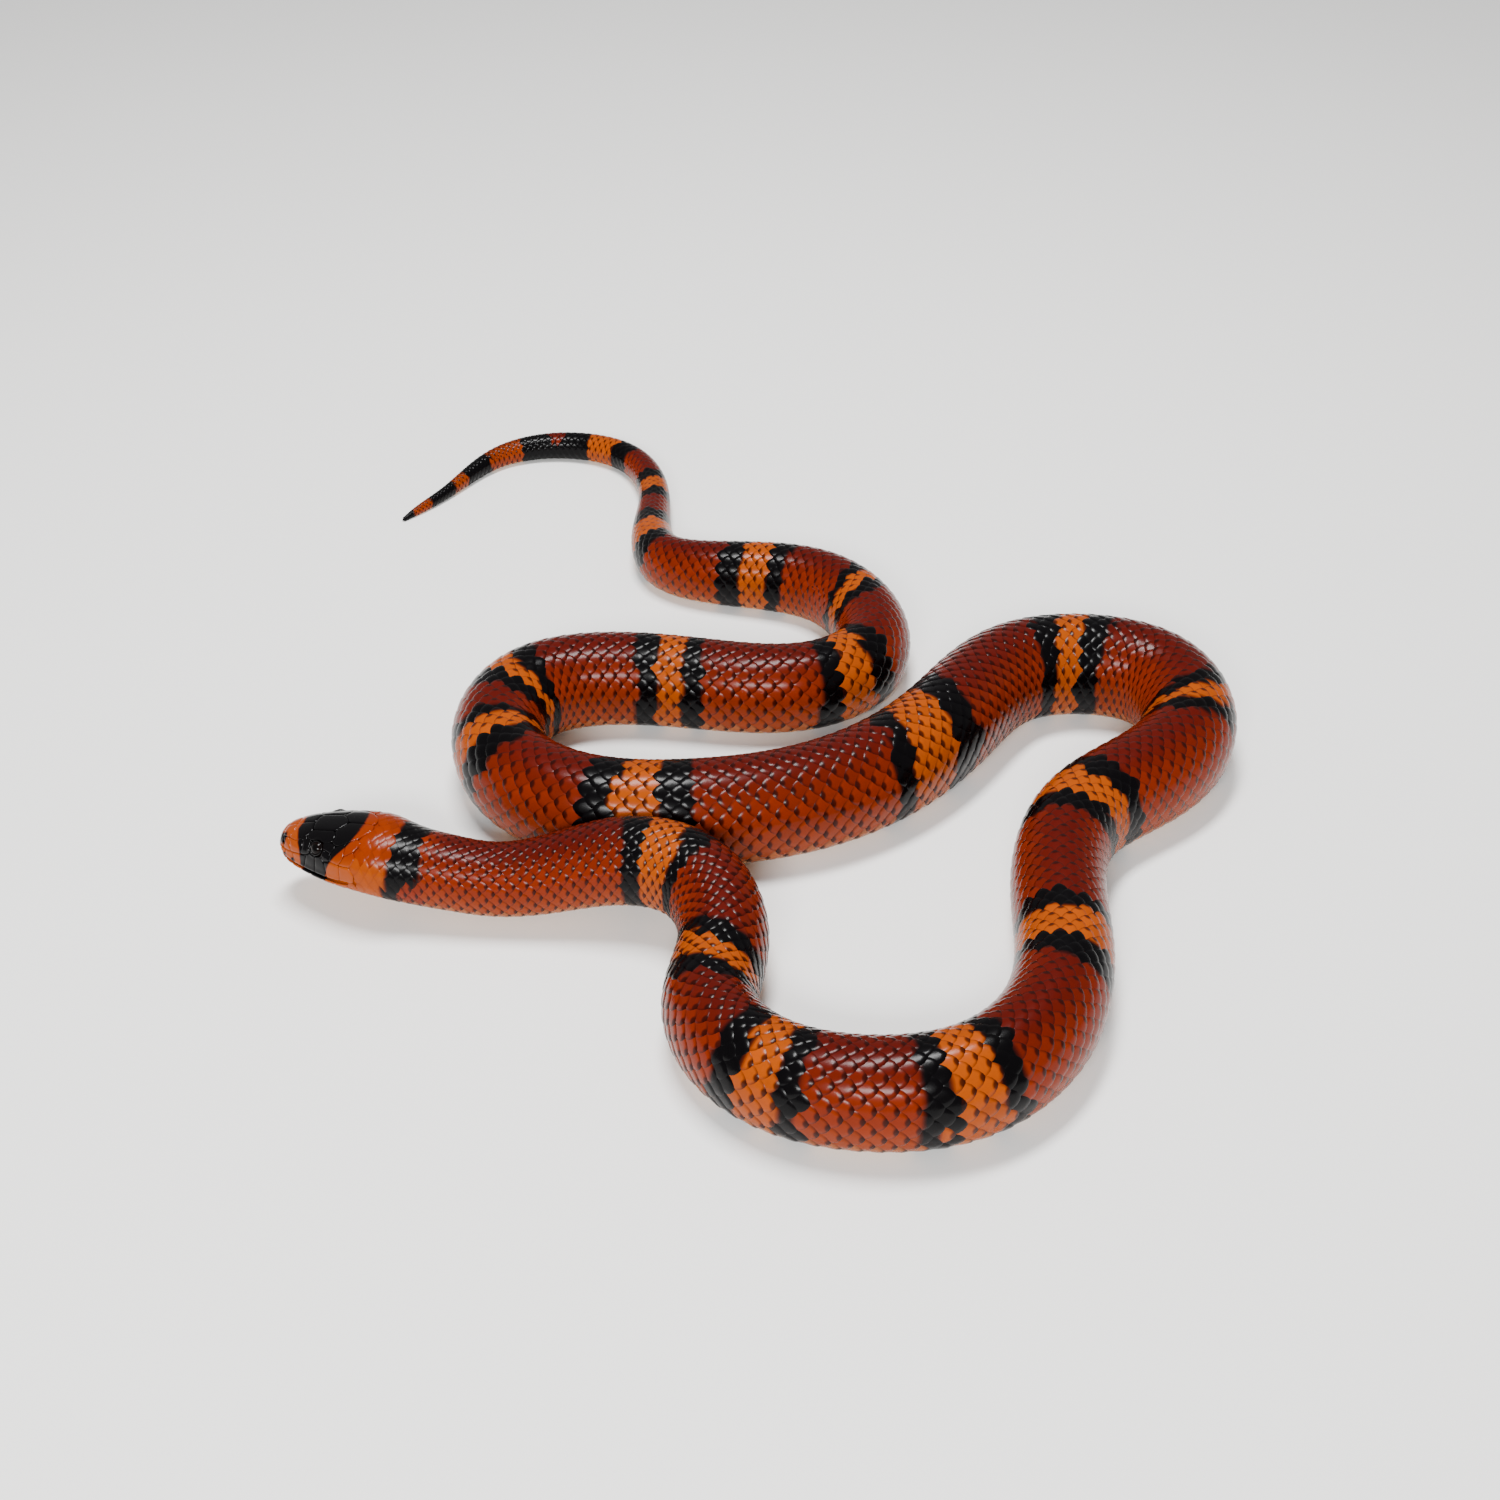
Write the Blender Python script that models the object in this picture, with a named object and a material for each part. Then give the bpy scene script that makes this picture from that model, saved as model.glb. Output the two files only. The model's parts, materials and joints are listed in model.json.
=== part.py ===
"""A milk snake at life size, lying in loose coils with its head a little raised.

Metres, +Z up, the floor at z = 0 and the origin under the middle of the coils. Seen from -Y, the head
points left. Sizes below are in millimetres, and distances run along the back from the tip of the snout.
"""

import math

import bmesh
import bpy
import numpy as np
from mathutils import Matrix, Vector

MM = 0.001
GAP = 0.3

# The line that the animal follows over the floor, from the snout to the tip of the tail.
ROUTE = (
    (-121, -69), (-93, -76.5), (-65, -81), (-35, -80.5), (-13, -88), (-6.5, -104), (-9.5, -127),
    (2, -146), (26, -154.5), (51, -150.5), (69, -134), (77, -109), (79, -80), (88, -57),
    (112, -37), (123, -17), (118, 2), (98, 10.5), (75, 5.5), (57, -15.5), (38.5, -36.5),
    (15, -50.5), (-15, -56.5), (-43, -54), (-63, -41), (-70, -20), (-63, -3), (-39, 5),
    (-9, 2), (18, 3), (34, 16), (35, 38), (23, 56), (-4, 65), (-26, 74),
    (-32, 94), (-33, 126), (-43, 147), (-65, 156), (-87, 150), (-103, 129), (-117, 112),
)
# The middle of the coils in the route's own grid, which becomes the origin.
MIDDLE = (7.58, -3.31)

# Distance, half the width, then the heights of the crown, of the line of the mouth or the widest level,
# and of the underside.
HEAD_AND_NECK = (
    (0.0, 0.0, 16.7, 16.2, 16.0),
    (0.4, 2.2, 18.3, 15.6, 15.0),
    (1.2, 3.7, 19.4, 15.3, 14.1),
    (3.0, 5.4, 20.7, 14.9, 12.3),
    (6.0, 7.0, 22.0, 14.6, 11.2),
    (10.0, 8.4, 23.3, 14.4, 10.2),
    (14.0, 9.6, 24.1, 14.3, 9.5),
    (18.0, 10.6, 24.8, 14.4, 9.0),
    (23.0, 11.5, 25.5, 14.8, 8.6),
    (28.0, 11.8, 25.8, 15.4, 7.7),
    (36.0, 10.6, 24.5, 14.7, 5.4),
    (46.0, 9.6, 23.2, 13.5, 3.8),
    (58.0, 9.3, 21.9, 12.2, 2.7),
    (72.0, 10.0, 24.4, 14.0, 4.0),
    (88.0, 10.9, 29.2, 18.0, 6.8),
    (104.0, 11.1, 30.2, 18.5, 7.2),
    (120.0, 11.2, 28.0, 16.0, 4.2),
    (136.0, 11.4, 25.2, 12.9, 1.0),
)

# Distance and width where the body lies on the floor.
GIRTH = (
    (155, 23.4), (180, 24.3), (220, 25.0), (260, 24.6), (300, 24.2), (345, 25.4), (420, 27.2), (520, 27.3),
    (630, 26.0), (735, 24.0), (800, 21.4), (850, 18.2), (868, 15.8), (886, 13.0), (904, 10.9), (925, 10.1),
    (950, 9.3), (970, 8.6), (986, 7.4), (1004, 5.5), (1018, 3.9), (1030, 2.4), (1036, 0.9),
)
TALL = 1.07
WIDEST_LEVEL = 0.48
BELLY_FLAT = 1.037

# The body is parted where it has turned about a quarter, so each length is a plain, slightly bent form.
LENGTHS = (
    ("neck", 36, 112), ("body_1", 112, 166), ("body_2", 166, 228), ("body_3", 228, 294),
    ("body_4", 294, 364), ("body_5", 364, 416), ("body_6", 416, 476), ("body_7", 476, 566),
    ("body_8", 566, 628), ("body_9", 628, 672), ("body_10", 672, 736), ("body_11", 736, 788),
    ("body_12", 788, 834), ("body_13", 834, 878), ("tail_1", 878, 945), ("tail_2", 945, 1036),
)
BODY_SIDES = 24
LONGEST_STEP = 10.0
TURN_STEP = math.radians(12)
SAMPLES = 4000

HEAD_END = 36.0
HEAD_RINGS = 30
CROWN_SQUARE = 2.5
ROUND = 2.0
BELLY_SQUARE = 2.3
MOUTH_END = 23.0
MOUTH_FADE = 5.0
MOUTH_DEPTH = 0.55
LIP_RISE = 0.12
# Angles down one side of the head, from the crown to the lip, then from the lip to the chin.
UPPER_ANGLES = (90, 78, 66, 55, 45, 35, 26, 18, 11, 6, 2.5)
LOWER_ANGLES = (-2.5, -7, -14, -24, -36, -50, -63, -77, -90)

EYE_DISTANCE = 13.4
EYE_HEIGHT = 21.3
EYE_RADIUS = 2.05
EYE_SUNK = 1.2
NOSTRIL_DISTANCE = 2.4
NOSTRIL_HEIGHT = 17.4
NOSTRIL_RADIUS = 0.6
NOSTRIL_DEPTH = 1.5

# Base colour, roughness.
FINISHES = {
    "head": ((0.02, 0.018, 0.02), 0.3),
    "eye": ((0.012, 0.008, 0.008), 0.08),
    "body": ((0.42, 0.06, 0.015), 0.38),
    "tail": ((0.3, 0.04, 0.012), 0.38),
}


def smooth_curve(knots, values, at):
    """A natural cubic spline through the values."""
    count = len(knots)
    gap = np.diff(knots)
    system = np.eye(count)
    target = np.zeros((count, values.shape[1]))
    for i in range(1, count - 1):
        system[i, i - 1 : i + 2] = gap[i - 1], 2 * (gap[i - 1] + gap[i]), gap[i]
        target[i] = 6 * ((values[i + 1] - values[i]) / gap[i] - (values[i] - values[i - 1]) / gap[i - 1])
    bend = np.linalg.solve(system, target)
    i = np.clip(np.searchsorted(knots, at, side="right") - 1, 0, count - 2)
    t = (at - knots[i])[:, None]
    g = gap[i][:, None]
    slope = (values[i + 1] - values[i]) / g - g * (2 * bend[i] + bend[i + 1]) / 6
    return values[i] + t * slope + t**2 * bend[i] / 2 + t**3 * (bend[i + 1] - bend[i]) / (6 * g)


def running_length(points):
    return np.concatenate([[0], np.cumsum(np.linalg.norm(np.diff(points, axis=0), axis=1))])


class Path:
    """The route as a smooth line measured by distance, with the direction at each point."""

    def __init__(self):
        route = np.array(ROUTE, float) - MIDDLE
        chords = running_length(route)
        line = smooth_curve(chords, route, np.linspace(0, chords[-1], SAMPLES))
        length = running_length(line)
        self.length = length[-1]
        self.at = np.linspace(0, self.length, SAMPLES)
        self.line = np.stack([np.interp(self.at, length, line[:, k]) for k in (0, 1)], 1)
        tangent = np.gradient(self.line, self.at, axis=0)
        self.tangent = tangent / np.linalg.norm(tangent, axis=1)[:, None]
        self.angle = np.unwrap(np.arctan2(self.tangent[:, 1], self.tangent[:, 0]))

    def point(self, distance):
        return np.array([np.interp(distance, self.at, self.line[:, k]) for k in (0, 1)])

    def direction(self, distance):
        angle = np.interp(distance, self.at, self.angle)
        return np.array([math.cos(angle), math.sin(angle)])

    def ring_distances(self, start, end):
        """Distances from start to end, closer together where the path bends."""
        inside = (self.at > start) & (self.at < end)
        at = np.concatenate([[start], self.at[inside], [end]])
        angle = np.interp(at, self.at, self.angle)
        cost = np.cumsum(np.diff(at) / LONGEST_STEP + np.abs(np.diff(angle)) / TURN_STEP)
        cost = np.concatenate([[0], cost])
        return np.interp(np.linspace(0, cost[-1], math.ceil(cost[-1]) + 1), cost, at)


def body_rows():
    rows = [np.array(HEAD_AND_NECK, float)]
    for distance, width in GIRTH:
        height = TALL * width
        rows.append(np.array([[distance, width / 2, height, WIDEST_LEVEL * height, 0]]))
    return np.concatenate(rows)


ROWS = body_rows()
# The square root of the distance spreads out the first millimetres, where the snout is blunt.
ROOTS = np.sqrt(ROWS[:, 0])


def section(distance):
    """Half the width, then the heights of the crown, of the widest level and of the underside."""
    half, top, side, under = smooth_curve(ROOTS, ROWS[:, 1:], np.array([math.sqrt(distance)]))[0]
    return half, top, side, max(under, 0.0)


def ease(low, high, value):
    t = min(max((value - low) / (high - low), 0), 1)
    return t * t * (3 - 2 * t)


def ring(path, distance, angles, place=None, push=0.0):
    """One cross-section as points in millimetres. place and push set it square to another distance's direction."""
    half, top, side, under = section(distance)
    square = CROWN_SQUARE + (ROUND - CROWN_SQUARE) * ease(14, HEAD_END, distance)
    low_square = ROUND + (BELLY_SQUARE - ROUND) * ease(14, HEAD_END, distance)
    flat = 1 + (BELLY_FLAT - 1) * ease(14, HEAD_END, distance)
    forward = path.direction(distance if place is None else place)
    left = np.array([-forward[1], forward[0]])
    centre = path.point(distance if place is None else place) + push * forward
    points = []
    for angle in angles:
        c, s = math.cos(angle), math.sin(angle)
        power = square if s > 0 else low_square
        across = math.copysign(half * abs(c) ** (2 / power), c)
        if s > 0:
            height = side + (top - side) * s ** (2 / power)
        else:
            height = side - (side - under) * min(flat * abs(s) ** (2 / power), 1)
        points.append((*(centre + across * left), height))
    return points


def mesh_object(name, bm, material):
    mesh = bpy.data.meshes.new(name)
    bm.to_mesh(mesh)
    bm.free()
    mesh.materials.append(material)
    mesh.shade_smooth()
    mesh.set_sharp_from_angle(angle=math.radians(50))
    obj = bpy.data.objects.new(name, mesh)
    return obj


def loft(name, rings, material):
    """A closed skin over rings of equal count, with flat ends."""
    bm = bmesh.new()
    loops = [[bm.verts.new(Vector(point) * MM) for point in points] for points in rings]
    count = len(loops[0])
    for near, far in zip(loops, loops[1:]):
        for i in range(count):
            j = (i + 1) % count
            bm.faces.new((near[i], near[j], far[j], far[i]))
    bm.faces.new(loops[0][::-1])
    bm.faces.new(loops[-1])
    bmesh.ops.recalc_face_normals(bm, faces=bm.faces)
    return mesh_object(name, bm, material)


def body_length(path, name, start, end, material):
    """One length of the body. Its end faces are square to the path at the cut, half the gap away from it."""
    angles = [2 * math.pi * i / BODY_SIDES for i in range(BODY_SIDES)]
    inner = path.ring_distances(start, end)[1:-1]
    rings = [ring(path, start, angles, start, GAP / 2)]
    rings += [ring(path, distance, angles) for distance in inner]
    rings.append(ring(path, end, angles, end, -GAP / 2))
    return loft(name, rings, material)


def head_angles():
    """Once round the head, from the left lip over the crown to the right lip and back under the chin."""
    left = list(UPPER_ANGLES)
    right = [180 - a for a in UPPER_ANGLES[1:]]
    under_left = list(LOWER_ANGLES[:-1])
    under_right = [-180 - a for a in LOWER_ANGLES]
    order = [0] + left[::-1] + right + [180] + under_right + under_left[::-1]
    return [math.radians(a) for a in order]


def head(path, material):
    angles = head_angles()
    # Squares bring the rings together towards the rounded snout.
    distances = HEAD_END * np.linspace(0.04, 1, HEAD_RINGS) ** 2
    rings = [ring(path, distance, angles) for distance in distances[:-1]]
    rings.append(ring(path, HEAD_END, angles, HEAD_END, -GAP / 2))
    grid = np.array(rings)
    along = np.gradient(grid, axis=0)
    around = np.roll(grid, -1, axis=1) - np.roll(grid, 1, axis=1)
    normal = np.cross(around, along)
    normal /= np.linalg.norm(normal, axis=2)[:, :, None]
    normal *= np.sign((normal * (grid - grid.mean(axis=1, keepdims=True))).sum(axis=(1, 2)))[:, None, None]
    fade = np.array([1 - ease(MOUTH_END - MOUTH_FADE, MOUTH_END, d) for d in distances])
    lips = {math.radians(a) for a in (2.5, 177.5, -2.5, -177.5)}
    for column, angle in enumerate(angles):
        if angle in (0.0, math.pi):
            grid[:, column] -= MOUTH_DEPTH * fade[:, None] * normal[:, column]
        elif angle in lips:
            grid[:, column] += LIP_RISE * fade[:, None] * normal[:, column]
    return loft("head", grid, material)


def side_frame(path, distance, height, side):
    """A point on the side of the head at that height, and the way out of it. side is +1 for the left."""
    half, top, level, under = section(distance)
    lift = (height - level) / (top - level)
    across = half * (1 - lift**CROWN_SQUARE) ** (1 / CROWN_SQUARE)
    forward = path.direction(distance)
    left = np.array([-forward[1], forward[0]]) * side
    point = path.point(distance) + across * left
    rise = (lift ** (CROWN_SQUARE - 1)) * half / (top - level)
    run = (across / half) ** (CROWN_SQUARE - 1)
    grow = (section(distance + 0.5)[0] - section(distance - 0.5)[0])
    out = Vector((*(left - grow * forward) * run, rise)).normalized()
    return Vector((*point, height)), out


def ball(name, centre, radius, collection, material=None):
    bm = bmesh.new()
    bmesh.ops.create_uvsphere(bm, u_segments=20, v_segments=12, radius=radius * MM)
    bmesh.ops.translate(bm, vec=centre * MM, verts=bm.verts)
    mesh = bpy.data.meshes.new(name)
    bm.to_mesh(mesh)
    bm.free()
    mesh.shade_smooth()
    if material:
        mesh.materials.append(material)
    obj = bpy.data.objects.new(name, mesh)
    collection.objects.link(obj)
    return obj


def nostril_cutter(name, point, out, collection):
    bm = bmesh.new()
    bmesh.ops.create_cone(
        bm, cap_ends=True, segments=10, radius1=NOSTRIL_RADIUS * 0.5 * MM,
        radius2=NOSTRIL_RADIUS * 1.2 * MM, depth=2 * NOSTRIL_DEPTH * MM,
    )
    turn = out.to_track_quat("Z", "Y").to_matrix().to_4x4()
    bmesh.ops.transform(bm, matrix=Matrix.Translation(point * MM) @ turn, verts=bm.verts)
    mesh = bpy.data.meshes.new(name)
    bm.to_mesh(mesh)
    bm.free()
    obj = bpy.data.objects.new(name, mesh)
    collection.objects.link(obj)
    return obj


def material_of(name):
    colour, roughness = FINISHES[name]
    material = bpy.data.materials.new(name + "_finish")
    material.use_nodes = True
    shader = material.node_tree.nodes["Principled BSDF"]
    shader.inputs["Base Color"].default_value = (*colour, 1)
    shader.inputs["Roughness"].default_value = roughness
    return material


def new_collection(name, hidden=False):
    collection = bpy.data.collections.new(name)
    bpy.context.scene.collection.children.link(collection)
    collection.hide_render = hidden
    return collection


def main():
    for obj in list(bpy.data.objects):
        bpy.data.objects.remove(obj)
    snake = new_collection("milk_snake")
    cutters = new_collection("cutters")
    materials = {name: material_of(name) for name in FINISHES}
    path = Path()

    skull = head(path, materials["head"])
    snake.objects.link(skull)
    for side, name in ((1, "left"), (-1, "right")):
        # Route distances run from the snout back, so the animal's own left is on the path's right.
        point, out = side_frame(path, EYE_DISTANCE, EYE_HEIGHT, -side)
        centre = point - out * EYE_SUNK
        ball(f"eye_{name}", centre, EYE_RADIUS, snake, materials["eye"])
        ball(f"socket_{name}", centre, EYE_RADIUS + GAP, cutters)
        point, out = side_frame(path, NOSTRIL_DISTANCE, NOSTRIL_HEIGHT, -side)
        nostril_cutter(f"nostril_{name}", point, out, cutters)
    for cutter in cutters.objects:
        cutter.hide_render = True
        cutter.display_type = "WIRE"
    cut = skull.modifiers.new("sockets_and_nostrils", "BOOLEAN")
    cut.operation = "DIFFERENCE"
    cut.operand_type = "COLLECTION"
    cut.collection = cutters

    for name, start, end in LENGTHS:
        kind = "tail" if name.startswith("tail") else "body"
        snake.objects.link(body_length(path, name, start, end, materials[kind]))


main()
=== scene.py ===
"""A milk snake at life size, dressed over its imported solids: one skin, its scales and shields, and its eyes.

Lengths in this file are millimetres unless a name says otherwise, and everything is placed in metres. A place
on the body is given by its distance from the tip of the snout and by how far it lies round the body, which is
0 along the back, 0.5 at the line of the mouth or the widest level and 1 under the belly, and is positive on
the animal's right.
"""

import json
import math

import bpy
import numpy as np
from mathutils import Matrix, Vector

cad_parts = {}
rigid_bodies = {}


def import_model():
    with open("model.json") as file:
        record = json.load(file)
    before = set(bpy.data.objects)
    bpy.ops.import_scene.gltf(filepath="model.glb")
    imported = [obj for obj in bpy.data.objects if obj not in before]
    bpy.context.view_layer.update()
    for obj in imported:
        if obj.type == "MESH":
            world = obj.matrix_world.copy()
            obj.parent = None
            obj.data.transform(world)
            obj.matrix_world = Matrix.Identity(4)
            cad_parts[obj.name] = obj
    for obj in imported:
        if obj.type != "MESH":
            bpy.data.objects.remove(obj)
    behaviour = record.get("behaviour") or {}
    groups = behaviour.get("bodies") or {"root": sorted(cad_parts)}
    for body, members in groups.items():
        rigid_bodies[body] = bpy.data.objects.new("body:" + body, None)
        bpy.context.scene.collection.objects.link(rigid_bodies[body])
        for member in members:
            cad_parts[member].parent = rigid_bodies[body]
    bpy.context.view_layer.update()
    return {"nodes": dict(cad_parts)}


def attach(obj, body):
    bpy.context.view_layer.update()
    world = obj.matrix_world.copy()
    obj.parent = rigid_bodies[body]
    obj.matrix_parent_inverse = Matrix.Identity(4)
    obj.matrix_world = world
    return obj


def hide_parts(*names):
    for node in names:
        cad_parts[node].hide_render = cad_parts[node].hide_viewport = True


bl_info = {
    "name": "Milk snake",
    "version": (1, 0, 0),
    "blender": (4, 5, 0),
    "location": "View3D > Sidebar > Milk snake",
    "description": "Builds the skin, scales, head shields and eyes of a coiled milk snake",
    "category": "Object",
}

for startup_object in list(bpy.data.objects):
    bpy.data.objects.remove(startup_object)
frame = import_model()

MM = 0.001
SEED = 1431
# The small scales are shared out between this many pieces, from the head to the tail.
PIECES = 6

# The line that the animal follows over the floor, from the snout to the tip of the tail.
ROUTE = (
    (-121, -69), (-93, -76.5), (-65, -81), (-35, -80.5), (-13, -88), (-6.5, -104), (-9.5, -127),
    (2, -146), (26, -154.5), (51, -150.5), (69, -134), (77, -109), (79, -80), (88, -57), (112, -37),
    (123, -17), (118, 2), (98, 10.5), (75, 5.5), (57, -15.5), (38.5, -36.5), (15, -50.5), (-15, -56.5),
    (-43, -54), (-63, -41), (-70, -20), (-63, -3), (-39, 5), (-9, 2), (18, 3), (34, 16), (35, 38),
    (23, 56), (-4, 65), (-26, 74), (-32, 94), (-33, 126), (-43, 147), (-65, 156), (-87, 150),
    (-103, 129), (-117, 112),
)
MIDDLE = (7.58, -3.31)

# Distance, half the width, then the heights of the crown, of the line of the mouth or the widest level,
# and of the underside.
HEAD_AND_NECK = (
    (0.0, 0.0, 16.7, 16.2, 16.0),
    (0.4, 2.2, 18.3, 15.6, 15.0),
    (1.2, 3.7, 19.4, 15.3, 14.1),
    (3.0, 5.4, 20.7, 14.9, 12.3),
    (6.0, 7.0, 22.0, 14.6, 11.2),
    (10.0, 8.4, 23.3, 14.4, 10.2),
    (14.0, 9.6, 24.1, 14.3, 9.5),
    (18.0, 10.6, 24.8, 14.4, 9.0),
    (23.0, 11.5, 25.5, 14.8, 8.6),
    (28.0, 11.8, 25.8, 15.4, 7.7),
    (36.0, 10.6, 24.5, 14.7, 5.4),
    (46.0, 9.6, 23.2, 13.5, 3.8),
    (58.0, 9.3, 21.9, 12.2, 2.7),
    (72.0, 10.0, 24.4, 14.0, 4.0),
    (88.0, 10.9, 29.2, 18.0, 6.8),
    (104.0, 11.1, 30.2, 18.5, 7.2),
    (120.0, 11.2, 28.0, 16.0, 4.2),
    (136.0, 11.4, 25.2, 12.9, 1.0),
)

# Distance and width where the body lies on the floor.
GIRTH = (
    (155, 23.4), (180, 24.3), (220, 25.0), (260, 24.6), (300, 24.2), (345, 25.4), (420, 27.2),
    (520, 27.3), (630, 26.0), (735, 24.0), (800, 21.4), (850, 18.2), (868, 15.8), (886, 13.0),
    (904, 10.9), (925, 10.1), (950, 9.3), (970, 8.6), (986, 7.4), (1004, 5.5), (1018, 3.9), (1030, 2.4),
    (1036, 0.9),
)
# On the body: height to width, the widest level's share of the height, and how far the curve of the belly
# would reach under the floor if it weren't cut flat there.
TALL = 1.07
WIDEST_LEVEL = 0.48
BELLY_FLAT = 1.037
HEAD_END = 36.0
# Exponents of the cross-section's curve, from a squarer crown through a plain round to a squarer belly.
CROWN_SQUARE = 2.5
ROUND = 2.0
BELLY_SQUARE = 2.3
MOUTH_END = 23.0
MOUTH_FADE = 5.0

EYE_DISTANCE = 13.4
EYE_HEIGHT = 21.3
EYE_RADIUS = 2.05
EYE_SUNK = 1.2
EYE_OPENING = 1.66
NOSTRIL_DISTANCE = 2.4
NOSTRIL_HEIGHT = 17.4
# The groove of the mouth: its depth and half its width.
MOUTH_GROOVE = (0.75, 0.28)
# The roll of each lip: its height, how far it lies from the groove, and half its width.
LIP_ROLL = (0.22, 0.9, 0.7)
# The hollow that holds the eye: its depth, and how far its wall reaches in and out of the opening.
EYE_HOLLOW = (1.1, 0.3, 0.25)
# The swelling round the eye: its height, how far it lies outside the opening, and half its width.
EYE_SWELL = (0.2, 0.5, 0.4)
NOSTRIL_PIT = (1.1, 0.5)
# An eye or a nostril shapes only the points that lie within this much of it, measured along its own axis.
NEAR_SIDE = 4.0
OUT_OF_REACH = 99.0
# The most that the outside of a bend is stretched, and the least that its inside is pressed together.
STRETCH_LIMITS = (0.45, 1.7)

# Each ring of the body: where the first black starts, where the orange starts and ends, where the second
# black ends, and how far the ring leans towards the tail on the animal's right.
RINGS = (
    (90.3, 96.5, 106.5, 112.3, -1.3),
    (134.7, 139.8, 146.8, 152.3, 3.3),
    (169.5, 175.6, 183.0, 188.2, -0.8),
    (211.6, 217.2, 226.8, 232.8, -0.5),
    (263.8, 270.3, 280.3, 286.2, 0.6),
    (317.8, 323.9, 333.6, 341.0, -2.0),
    (373.5, 378.6, 384.6, 390.0, -7.0),
    (422.5, 430.4, 438.5, 445.9, 3.5),
    (483.2, 492.6, 506.6, 513.0, 4.0),
    (566.0, 574.6, 584.9, 593.0, 1.0),
    (618.0, 624.2, 630.5, 635.0, 1.5),
    (644.6, 651.0, 656.6, 663.5, 2.5),
    (692.6, 698.9, 707.0, 712.8, -0.8),
    (744.5, 749.8, 758.6, 764.6, 1.8),
    (785.6, 790.0, 795.3, 800.0, -5.0),
    (820.5, 826.5, 835.2, 841.4, 1.0),
    (865.0, 872.0, 882.4, 889.5, 0.0),
    (901.0, 906.8, 913.8, 919.8, 0.0),
    (934.6, 943.0, 953.9, 979.6, 0.0),
    (993.0, 1005.3, 1011.7, 1023.0, 0.0),
    (1030.3, 1060.0, 1070.0, 1080.0, 0.0),
)


def linear(code):
    """An sRGB hex colour as the linear values that a shader reads."""
    parts = [int(code[i : i + 2], 16) / 255 for i in (1, 3, 5)]
    return [c / 12.92 if c <= 0.04045 else ((c + 0.055) / 1.055) ** 2.4 for c in parts]


def ease(low, high, value):
    """From 0 at low to 1 at high, with no sudden change. low may be the larger of the two."""
    t = np.clip((value - low) / (high - low), 0, 1)
    return t * t * (3 - 2 * t)


def smooth_curve(knots, values, at):
    """A natural cubic spline through the values."""
    count = len(knots)
    gap = np.diff(knots)
    system = np.eye(count)
    target = np.zeros((count, values.shape[1]))
    for i in range(1, count - 1):
        system[i, i - 1 : i + 2] = gap[i - 1], 2 * (gap[i - 1] + gap[i]), gap[i]
        target[i] = 6 * ((values[i + 1] - values[i]) / gap[i] - (values[i] - values[i - 1]) / gap[i - 1])
    bend = np.linalg.solve(system, target)
    i = np.clip(np.searchsorted(knots, at, side="right") - 1, 0, count - 2)
    t = (at - knots[i])[:, None]
    g = gap[i][:, None]
    slope = (values[i + 1] - values[i]) / g - g * (2 * bend[i] + bend[i + 1]) / 6
    return values[i] + t * slope + t**2 * bend[i] / 2 + t**3 * (bend[i + 1] - bend[i]) / (6 * g)


def running_length(points):
    return np.concatenate([[0], np.cumsum(np.linalg.norm(np.diff(points, axis=0), axis=1))])


def distance_from_line(points, start, way):
    """How far points lie from a line. Those on the far side of the head are out of its reach."""
    off = points - start
    along = off @ way
    away = np.linalg.norm(off - along[..., None] * way, axis=-1)
    return np.where(np.abs(along) < NEAR_SIDE, away, OUT_OF_REACH)


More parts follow.
